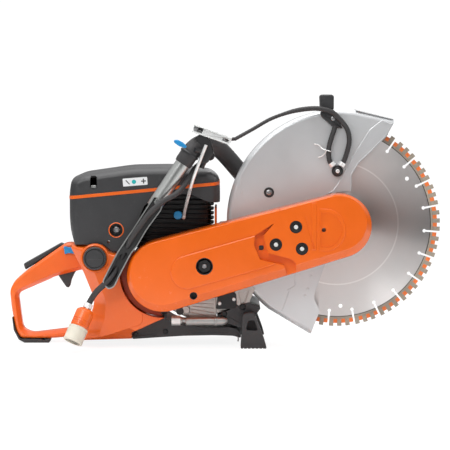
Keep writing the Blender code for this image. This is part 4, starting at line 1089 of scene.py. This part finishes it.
PULL_WAY = Vector((-0.2079, 0.0, 0.9781))
# count, first angle, corner radius, depth, and corners as (radius, half width)
INNER_VENTS = (18, 0.0, 1.4, 8, ((20, -1.6), (38, -2.6), (38, 2.6), (20, 1.6)))
OUTER_VENTS = (24, 7.5, 1.6, 24, ((47, -2.2), (58, -3.0), (58, 3.0), (47, 2.2)))


def build_starter():
    """Recoil housing with its two rows of vents, the grip, and the rope between them."""
    low, high = node_box("starter_cover")
    wide = 66.0
    base = (CRANK.x, 0, CRANK.z)
    cover = lathe([(0, high.y), (40, high.y), (46, high.y - 1.2), (60, high.y - 9), (64, high.y - 14),
                   (wide, high.y - 22), (wide, low.y), (wide - 3, low.y), (wide - 3, high.y - 23),
                   (60, high.y - 16), (43, high.y - 4), (0, high.y - 3.4)], base, 96)
    slots = []
    for count, first, soft, depth, corners in (INNER_VENTS, OUTER_VENTS):
        for k in range(count):
            a = math.radians(360.0 / count * k + first)
            c, s = math.cos(a), math.sin(a)
            vent = [(CRANK.x + r * c - w * s, CRANK.z + r * s + w * c) for r, w in corners]
            slots.append(prism(rounded(vent, soft, 2), high.y - depth, high.y + 4))
    place("recoil_cover", cover, "orange_plastic", ["starter_cover"], cuts=slots, bevel=0.6, steps=1)
    dress("starter_pulley", "dark_plastic")
    low, high = node_box("starter_handle")
    grip = rounded([(-150, 198), (-106, 207), (-109, 221), (-153, 212)], 6.0, 4)
    place("recoil_grip", slab(grip, low.y, high.y, 4.0, 4.0, 4), "dark_plastic", ["starter_handle"],
          body="starter_grip")
    foot = Vector((-121.6, 0.5 * (low.y + high.y), 172.0))
    knot = foot + PULL_WAY * 34.0
    rope = place("recoil_rope", sweep([foot.lerp(knot, k / 20.0) for k in range(21)], 1.9, count=12),
                 "black_plastic", body=None, sharp=60.0)
    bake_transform(rope)


# --- front handle

TUBE_Y = -100.0
TUBE_R = 12.5
GRIP_R = 15.0
HANDLE_ROUTE = [(-118, TUBE_Y, 238.5), (-105, TUBE_Y, 257.7), (-71, TUBE_Y, 308), (-54, -98, 332),
                (-40, -84, 342), (-25, -56, 343), (-8, -24, 331), (19, 12, 300), (46, 42, 264),
                (62, 60, 220), (66, 67, 160), (60, 68, 110), (48, 68, 80.5)]
CHANNEL = [(-204, 114), (-193, 102), (-183, 106), (-171, 131), (-154, 163), (-146, 172), (-129, 201),
           (-103, 236), (-105, 250), (-116, 259), (-146, 212), (-179, 163)]


def build_front_handle():
    route = smooth_route(HANDLE_ROUTE, 5.0)
    place("handle_tube", sweep(route, TUBE_R, count=36), "aluminium", ["front_handle_tube"])
    start = next(i for i, p in enumerate(route) if p.x > -71.0)
    sleeve = route[start:-8]
    radii = [GRIP_R] * len(sleeve)
    radii[0] = radii[-1] = GRIP_R - 0.8
    place("handle_sleeve", sweep(sleeve, radii, TUBE_R + 0.2, 36), "rubber", ["front_handle_grip"])
    way = (route[start + 4] - route[start]).normalized()
    collar = lathe([(TUBE_R + 1, 0), (GRIP_R + 1.2, 0), (GRIP_R + 1.6, 1), (GRIP_R + 1.6, 3),
                    (GRIP_R + 0.4, 4.6), (TUBE_R + 1, 4.6)], route[start] + way * 18, 40, way)
    place("valve_clamp_ring", collar, "black_plastic")


def build_channel():
    low, high = PLATE_LOW, PLATE_HIGH
    outline = anticlockwise(rounded(CHANNEL, 9, 5))
    rim = prism(outline, low.y - 0.3, high.y, [inset(outline, 1.9)])
    mouth = sweep([(-177, -98, 143), *INLET_HOSE[:4]], 6.2, count=20)
    feed = sweep(smooth_route(FEED_HOSE[:4], 4.0), 5.4, count=16)
    place("channel_rim", rim, "aluminium", cuts=[mouth], bevel=0.5, steps=2)
    floor = slab(inset(outline, 1.8), low.y + 1.6, high.y - 0.5, 0.6, 0.0, 2)
    pocket = slab(rounded([(-198, 114), (-191, 108), (-186, 111), (-172, 138), (-160, 160), (-164, 165),
                           (-176, 158)], 4, 4), low.y - 4, low.y + 9)
    groove = slab(rounded([(-168, 158), (-160, 155), (-121, 214), (-113, 232), (-119, 238), (-126, 226)], 4,
                          4), low.y - 4, low.y + 2.1)
    screw_well = pin(6.6, -110.5, 248, low.y - 4, low.y + 5.0, 32)
    place("channel_floor", floor, "black_plastic", ["handle_channel"],
          cuts=[pocket, groove, screw_well, mouth, feed], bevel=0.5, steps=2)
    screw("channel_screw", -110.5, low.y + 4.8, 248, 4.6, "black_paint", 15, 2.4)


def build_bracket():
    low, high = BRACKET_LOW, BRACKET_HIGH

    def sheet(points, thick):
        a, b = Vector(points[0]), Vector(points[1])
        up = Vector((-(b - a).y, (b - a).x)).normalized() * thick
        return [tuple(a), tuple(b), tuple(b + up), tuple(a + up)]

    for name, points, y0 in (("bracket_top", ((-52.5, 374.0), (11, 351.0)), low.y),
                             ("bracket_bottom", ((-55, 362.8), (8, 340.8)), low.y + 2)):
        plate = prism(sheet(points, 2.4), y0, high.y)
        place(name, plate, "zinc", ["handle_bracket"] if name == "bracket_top" else (), bevel=0.7, steps=2)
    web = prism([(-53, 365), (7, 343.5), (8.5, 349), (-51.5, 373)], high.y - 3.4, high.y - 0.4)
    place("bracket_web", web, "zinc", bevel=0.4, steps=1)
    cheek = [(-39, 358), (8, 341.5), (11.4, 351), (-35, 367.4)]
    oval = rounded([(-5, 348.4), (5, 344.9), (6.8, 349.6), (-3.2, 353.1)], 2.0, 4)
    place("bracket_cheek", prism(cheek, low.y + 2.6, low.y + 4.4), "zinc",
          cuts=[prism(oval, low.y, low.y + 9)], bevel=0.5, steps=2)
    slope = Vector((65, 0, -24)).normalized()
    normal = Vector((24, 0, 65)).normalized()
    for k, along in enumerate((9.0, 56.0)):
        spot = Vector((-54, low.y + 12, 373.4)) + slope * along
        head = lathe([(0, 0), (4.2, 0), (4.0, 1.2), (2.6, 2.2), (0, 2.6)], spot, 24, normal)
        place(f"bracket_rivet_{k}", head, "zinc")
        spacer = lathe(rectangle(0, 0, 3.0, 9.5), spot - normal * 10.5, 20, normal)
        place(f"bracket_spacer_{k}", spacer, "steel")


def build_water_valve():
    low, high = node_box("water_valve")
    body = lathe([(0, 0), (6.6, 0), (7.6, 1), (8.2, 3.0), (8.2, 17), (7.4, 19), (6, 22), (0, 22)],
                 (-25, low.y, 323), 40)
    ribs = [pin(0.9, x, z, low.y - 1, low.y + 12, 8) for x, z in circle(-25, 323, 8.6, 15)]
    place("valve_body", body, "black_plastic", ["water_valve"], cuts=ribs, bevel=0.2, steps=1)
    block = [(-47, 356), (-38, 359.5), (-24, 350), (-18, 330), (-28, 311), (-41, 311), (-48, 332)]
    place("valve_block", slab(block, -106.0, -86.0, 3.0, 3.0, 3, 4.0), "black_plastic")
    tail = sweep(smooth_route([(-30, -92, 318), (-36, -93, 310), (-39, -92, 303)], 3.0), 4.4, count=20)
    place("valve_tail", tail, "black_plastic")
    arm = sweep(smooth_route([(-28, -96, 326), (-38, -106, 330), (-50, -114, 333)], 3.0), 4.2, count=20)
    place("valve_arm", arm, "black_plastic")
    low, high = node_box("water_valve_lever")
    lever = rounded([(-84, 349.5), (-83.5, 345), (-75, 339), (-64, 335.5), (-62.5, 339), (-68, 345),
                     (-77, 350)], 2.5, 4)
    place("valve_handle", slab(lever, low.y, high.y, 1.6, 1.6, 3), "blue_plastic", ["water_valve_lever"],
          body="valve_lever")


# --- hoses

GUARD_HOSE = [(16, -88, 350), (45, -84, 366), (75, -76, 383), (105, -68, 394), (127, -64, 399),
              (147, -62.6, 401), (162, -62.6, 400), (179, -62.6, 395), (192, -62.6, 383), (204, -62.6, 367),
              (208, -62, 350), (206, -60, 333), (200, -58, 314), (196.5, -57, 306.5)]
BRANCH_HOSE = [(183, -57.2, 365.6), (178, -57.2, 350), (174, -57.2, 333), (175, -57.2, 315),
               (179.5, -57, 307)]
FEED_HOSE = [(-172, -101, 152), (-164, -107, 169), (-152, -120.3, 191), (-140, -120.6, 208),
             (-124, -121, 229), (-101, -121, 249), (-80, -118, 261), (-66, -106, 276), (-57, -95, 290),
             (-50, -90, 302), (-40, -89, 310), (-32.5, -89, 315)]
STAY = [(-31, -111, 341), (-44, -108, 308), (-54, -99, 280), (-61, -82, 255), (-66, -68, 236),
        (-69.5, -57, 219)]
INLET_HOSE = [(-178, -99, 141), (-184, -105, 128), (-197, -110, 113), (-212, -109, 99),
              (-222.5, -107.5, 84), (-229, -112.5, 69.5)]
INLET_R = 5.0


def ribbed(route, radius, depth=0.25, period=2):
    """Radii with a shallow rib every few points."""
    return [radius - (depth if i % period else 0.0) for i in range(len(route))]


def build_hoses():
    route = smooth_route(GUARD_HOSE, 2.0)
    radii = [r - 1.1 * min(1.0, max(0.0, (125.0 - p.x) / 30.0)) for r, p in zip(ribbed(route, 4.25), route)]
    hose = place("spray_hose", sweep(route, radii, count=20), "rubber", ["guard_water_hose"], body=None,
                 sharp=60.0)
    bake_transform(hose)
    route = smooth_route([(185, -56.4, 371.5), *BRANCH_HOSE], 2.0)
    place("spray_branch_hose", sweep(route, ribbed(route, 4.25), count=20), "rubber", ["guard_branch_hose"],
          body="guard", sharp=60.0)
    route = smooth_route(FEED_HOSE, 2.0)
    place("feed_hose", sweep(route, ribbed(route, 4.6), count=20), "rubber", ["water_feed_hose"], sharp=60.0)
    through = smooth_route([(-50, -100, 371.5), (-30, -100, 364), (-8, -98, 356), (6, -93, 350.5),
                            (17, -87.6, 350.6)], 2.0)
    place("bracket_hose", sweep(through, 3.0, count=18), "rubber")


def build_stay():
    route = smooth_route(STAY, 3.0)
    half = len(route) // 2
    place("stay_rod", sweep(route[:half + 2], 2.7, count=18), "zinc", ["stay_cable"])
    place("stay_core", sweep(route[half:], 1.5, count=12), "steel")
    place("stay_spring", coil(route[half:], 2.1, 0.75, 2.6), "zinc", sharp=60.0)
    tip = lathe([(0, -3), (2.2, -3), (3.4, -1.5), (3.4, 2), (2.2, 4), (0, 4)], route[-1], 20,
                route[-1] - route[-2])
    place("stay_tip", tip, "zinc")


def build_inlet():
    points = smooth_route(INLET_HOSE, 4.0)
    curve = bpy.data.curves.new("inlet_hose", "CURVE")
    curve.dimensions = "3D"
    spline = curve.splines.new("POLY")
    spline.points.add(len(points) - 1)
    for slot, point in zip(spline.points, points):
        slot.co = (*(point * MM), 1.0)
    curve.bevel_depth = INLET_R * MM
    curve.bevel_resolution = 6
    curve.use_fill_caps = True
    hose = bpy.data.objects.new("inlet_hose", curve)
    bpy.context.scene.collection.objects.link(hose)
    curve.materials.append(FINISHES["rubber"])
    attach(hose, "machine")
    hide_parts("water_inlet_hose")
    end = points[-1]
    way = (points[-1] - points[-2]).normalized()
    band = lathe([(5.2, 0), (7.0, 0), (7.4, 0.8), (7.4, 7.6), (7.0, 8.4), (5.2, 8.4)], end - way * 9.5, 40,
                 way)
    side = way.cross(Vector((0, 1, 0))).normalized()
    ear = slab(rectangle(-2.2, -2.6, 2.2, 2.6), -1.8, 1.8, 0.6, 0.6, 2)
    turn = Matrix((side, Vector((0, -1, 0)).cross(way).cross(side) * -1, way)).transposed().to_4x4()
    bmesh.ops.transform(ear, verts=ear.verts,
                        matrix=Matrix.Translation(end - way * 5.4 + Vector((0, -8.4, 0))) @ turn)
    clamp = place("inlet_band", band, "zinc", ["inlet_hose_clamp"], joins=[ear], bevel=0.3, steps=1)
    body = lathe([(0, 0.4), (9.0, 0.4), (10.5, 1.0), (14.2, 4.2), (15.0, 6.0), (15.2, 9.0), (15.2, 31.6),
                  (14.6, 33), (0, 33)], end, 56, way)
    grooves = [lathe(rectangle(14.4, d, 16.5, d + 1.4), end, 56, way) for d in (20.0, 24.0, 28.0)]
    coupling = place("inlet_coupling", body, "orange_plastic", ["coupling_body"], cuts=grooves, bevel=0.3,
                     steps=1)
    collar = lathe([(0, 33.4), (15.6, 33.4), (16.6, 34.6), (16.6, 36.4), (16.2, 37.0), (16.2, 56.4),
                    (16.6, 57.2), (16.6, 59.4), (16.0, 60), (12.9, 60), (12.5, 59.6), (12.5, 41), (0, 41)],
                   end, 56, way)
    collar_piece = place("inlet_collar", collar, "beige_plastic", ["coupling_collar"], bevel=0.2, steps=1)
    screen = lathe([(5.2, 52.0), (12.3, 52.0), (12.3, 55.6), (9.6, 55.6), (9.6, 53.6), (7.6, 53.6),
                    (7.6, 55.6), (5.2, 55.6)], end, 48, way)
    seal = place("inlet_seal", screen, "dark_plastic")


# --- under frame and feet

def build_under_frame():
    low, high = node_box("base_beam")
    beam = [(-157, 12), (-120, 14.5), (-69, 17.6), (-20, 18.6), (14, 17.6), (27, 13.8), (27, 22), (18, 30),
            (4, 32), (-20, 31), (-47, 33), (-76, 35.5), (-90, 41), (-100, 47.4), (-130, 37), (-157, 25)]
    cuts = [slab(rounded([(-150, 17.5), (-118, 19.5), (-118, 27), (-150, 22)], 3, 3), low.y - 2,
                 low.y + 1.4), slab(rounded([(-60, 21), (8, 21), (8, 27.6), (-60, 28.5)], 3, 3), low.y - 2,
                                    low.y + 1.6)]
    place("frame_beam", prism(rounded(beam, 3.0, 3), low.y, high.y), "dark_plastic", ["base_beam"],
          cuts=cuts, bevel=1.6, steps=2)
    for k, (x, z) in enumerate(((-151, 20.4), (-100.5, 25))):
        screw(f"frame_screw_{k}", x, low.y, z, 4.4, "black_paint", 10 * k, 1.8)
    hook = sweep(smooth_route([(22, low.y + 4, 18), (22.5, low.y + 2, 12), (22, low.y + 3, 8)], 1.5), 1.2,
                 count=12)
    place("frame_pin", hook, "steel")
    build_feet()
    build_damper()


def build_feet():
    low, high = node_box("foot_bracket")
    plate = rounded([(-14, 52.6), (-12, 47), (0, 41), (27, 31.4), (54, 34), (51, 52), (55, 57.5),
                     (60.5, 65), (39.5, 75.2), (20, 68)], 2.0, 2)
    place("foot_carrier", prism(plate, low.y, high.y), "dark_plastic", ["foot_bracket"],
          cuts=[slab(rounded([(6, 50), (24, 40), (28, 56), (14, 62)], 3, 3), low.y - 2, low.y + 2.0)],
          bevel=1.4, steps=2)
    for k, (x, z) in enumerate(((-2, 55), (30, 67))):
        screw(f"foot_screw_{k}", x, low.y, z, 5.6, "black_paint", 15 * k, 2.4)
    foot = rounded([(26, 0), (70, 0), (66, 14), (50, 57.5), (46, 60), (31, 58), (29.5, 54)], 2.4, 3)
    window = rounded([(35, 31), (55, 30), (50, 46), (47, 48.5), (38, 47)], 4, 4)
    for name, node in (("foot_near", "front_foot_near"), ("foot_far", "front_foot_far")):
        y0, y1 = (corner.y for corner in node_box(node))
        recess = slab(window, y0 - 3, y0 + 16) if y1 < 0 else slab(window, y1 - 16, y1 + 3)
        ribs = [pin(1.0, 31 + 6.4 * k, 0.2, y0 - 2, y1 + 2, 10) for k in range(6)]
        place(name, prism(foot, y0, y1), "rubber", [node], cuts=[recess, *ribs], bevel=1.4, steps=2)


def build_damper():
    low, high = node_box("damper_cylinder")
    y = 0.5 * (low.y + high.y)
    barrel = lathe([(0, 0), (6.8, 0), (7.5, 0.8), (7.5, 48), (8.6, 48.6), (8.6, 52), (7.5, 52.6), (7.5, 61),
                    (6.6, 65), (3.4, 70.4), (0, 71)], (-66, y, 44), 48, (1, 0, 0))
    place("damper", barrel, "aluminium", ["damper_cylinder"])
    nut = lathe(rectangle(0, 0, 8.6, 15), (-90, y, 45), 6, (1, 0, 0))
    place("damper_nut", nut, "zinc", bevel=0.8)
    neck = lathe([(0, 14), (6.2, 14), (6.2, 18), (4.6, 19), (4.6, 25), (0, 25)], (-90, y, 45), 32, (1, 0, 0))
    place("damper_neck", neck, "aluminium")


def build_crankcase_details():
    near = node_box("crankcase_right")[0].y
    plate = rounded([(-12, 88), (-15, 63), (15, 63.5), (20, 66), (19, 90), (8, 93)], 2.0, 2)
    place("side_plate", slab(plate, near - 5.3, near - 0.2, 1.0, 0.0, 2), "black_paint")
    for k, (x, z) in enumerate(((-9, 73), (15, 80))):
        screw(f"side_plate_screw_{k}", x, near - 5.2, z, 3.0, "zinc", 12, 1.4)
    lug = rounded([(16, 97), (46, 104), (50, 96), (37, 66), (28, 64), (19, 72)], 3.0, 3)
    hollow = rounded([(22, 93), (41, 95), (33, 71), (27, 71)], 3.0, 3)
    place("frame_lug", prism(lug, near - 4.4, near + 8), "cast_magnesium",
          cuts=[slab(hollow, near - 8, near - 0.6)], bevel=1.2, steps=2)
    pad = rounded([(-66, 80), (-62, 50), (-40, 47.5), (-14, 48), (-16, 86), (-40, 92)], 4.0, 3)
    place("case_pad", slab(pad, near - 3.2, near + 3, 1.2, 0.0, 3), "cast_magnesium")
    ridges = [sweep([(-60 + 2 * k, near - 3.0, 58 + 5 * k), (-18, near - 3.0, 50 + 7 * k)], 1.0,
                    count=8) for k in range(5)]
    place("case_ridges", merge(*ridges), "cast_magnesium")
    boss = lathe([(0, 0), (7, 0), (7, 6), (6, 7), (0, 7)], (-66, near - 0.2, 62), 32, (0, -1, 0))
    place("case_boss", boss, "cast_magnesium")
    for k, (x, z, r) in enumerate(((-76, 60, 6.5), (-102, 51, 4.6), (-110, 48, 4.0))):
        place(f"drain_stub_{k}", pin(r, x, z, near - 8, near + 4, 28), "black_plastic", bevel=0.8)
    # the back plate is coloured as painted shade: dark orange for the shaded recess round the rear end of
    # the belt covers
    ring = arc(REAR_X, REAR_Z, 71.5, 142, 268, 40) + list(reversed(arc(REAR_X, REAR_Z, 40.0, 142, 268, 40)))
    place("arm_back_plate", slab(ring, -74.0, -66.5, 1.5, 0.0, 3), "orange_painted_shade")
    for k, (x, z) in enumerate(((-153.5, 145), (-102, 60.5))):
        screw(f"back_plate_bolt_{k}", x, -75.0, z, 5.4, "black_paint", 10, 4.0)


# --- studio

WHITE = (1.0, 1.0, 1.0, 1.0)


def build_floor():
    mesh = bpy.data.meshes.new("studio_floor")
    half = 0.95
    mesh.from_pydata([(-half, -half, 0), (half, -half, 0), (half, half, 0), (-half, half, 0)], [],
                     [(0, 1, 2, 3)])
    floor = bpy.data.objects.new("studio_floor", mesh)
    bpy.context.scene.collection.objects.link(floor)
    mat = bpy.data.materials.new("studio_floor")
    mat.use_nodes = True
    tree = mat.node_tree
    tree.nodes.clear()
    out = tree.nodes.new("ShaderNodeOutputMaterial")
    matt = new_node(tree, "BsdfDiffuse", {"Color": (0.9, 0.9, 0.9, 1.0)})
    glow = new_node(tree, "Emission", {"Color": WHITE, "Strength": 1.1})
    path = new_node(tree, "LightPath").outputs["Is Camera Ray"]
    seen = new_node(tree, "Math", {0: path, 1: 0.80}, operation="MULTIPLY")
    mix = new_node(tree, "MixShader", {0: seen.outputs[0], 1: matt.outputs[0], 2: glow.outputs[0]})
    tree.links.new(mix.outputs[0], out.inputs[0])
    mesh.materials.append(mat)


def build_world():
    """White behind the object; for reflections, bright above and dimmer at eye level."""
    world = bpy.data.worlds.new("studio")
    bpy.context.scene.world = world
    world.use_nodes = True
    tree = world.node_tree
    tree.nodes.clear()
    out = tree.nodes.new("ShaderNodeOutputWorld")
    parts = new_node(tree, "SeparateXYZ", {0: new_node(tree, "TexCoord").outputs["Generated"]})
    height = new_node(tree, "MapRange", {0: parts.outputs["Z"], 1: -1.0, 2: 1.0, 3: 0.0, 4: 1.0})
    grey = ramp(tree, height.outputs[0], [(0.0, (0.9,) * 3), (0.43, (0.55,) * 3), (0.475, (0.10,) * 3),
                                          (0.56, (0.10,) * 3), (0.66, (0.50,) * 3), (0.8, (1.1,) * 3)])
    studio = new_node(tree, "Background", {"Color": grey, "Strength": 1.0})
    white = new_node(tree, "Background", {"Color": WHITE, "Strength": 1.05})
    path = new_node(tree, "LightPath").outputs["Is Camera Ray"]
    mix = new_node(tree, "MixShader", {0: path, 1: studio.outputs[0], 2: white.outputs[0]})
    tree.links.new(mix.outputs[0], out.inputs[0])


def build_lamps():
    target = Vector((0.0, DISC_Y, 200.0)) * MM
    softboxes = (("softbox_front", (-1.1, -2.2, 2.1), 1.3, 27.0),
                 ("softbox_top", (-0.2, -0.1, 2.3), 1.8, 32.0),
                 ("softbox_back", (0.8, 2.2, 1.5), 1.4, 14.0))
    for name, spot, size, power in softboxes:
        light = bpy.data.lights.new(name, "AREA")
        light.size = size
        light.energy = power
        lamp = bpy.data.objects.new(name, light)
        bpy.context.scene.collection.objects.link(lamp)
        lamp.location = spot
        lamp.rotation_euler = (target - Vector(spot)).to_track_quat("-Z", "Y").to_euler()


def build_camera():
    distance = 2800.0
    pitch = math.radians(4.0)
    look_at = Vector((0.0, DISC_Y, 203.4))
    data = bpy.data.cameras.new("camera")
    data.sensor_width = 36.0
    data.lens = 131.8
    data.clip_end = 50.0
    camera = bpy.data.objects.new("camera", data)
    bpy.context.scene.collection.objects.link(camera)
    camera.location = (look_at + Vector((0, -math.cos(pitch), math.sin(pitch))) * distance) * MM
    camera.rotation_euler = (math.radians(90.0) - pitch, 0.0, 0.0)
    bpy.context.scene.camera = camera
    bpy.context.scene.view_settings.view_transform = "Standard"


def build_all():
    build_camera()
    build_world()
    build_lamps()
    build_floor()
    build_inlet()
    build_hoses()
    build_stay()
    build_disc()
    build_spindle()
    build_guard()
    build_guard_handle()
    build_nozzles()
    build_wire_clip()
    build_rear_cover()
    build_front_cover()
    build_tensioner()
    build_tank()
    build_rear_handle()
    build_fuel_cap()
    build_controls()
    build_rear_bumper()
    build_covers()
    build_engine()
    build_starter()
    build_front_handle()
    build_channel()
    build_bracket()
    build_water_valve()
    build_under_frame()
    build_crankcase_details()


build_all()
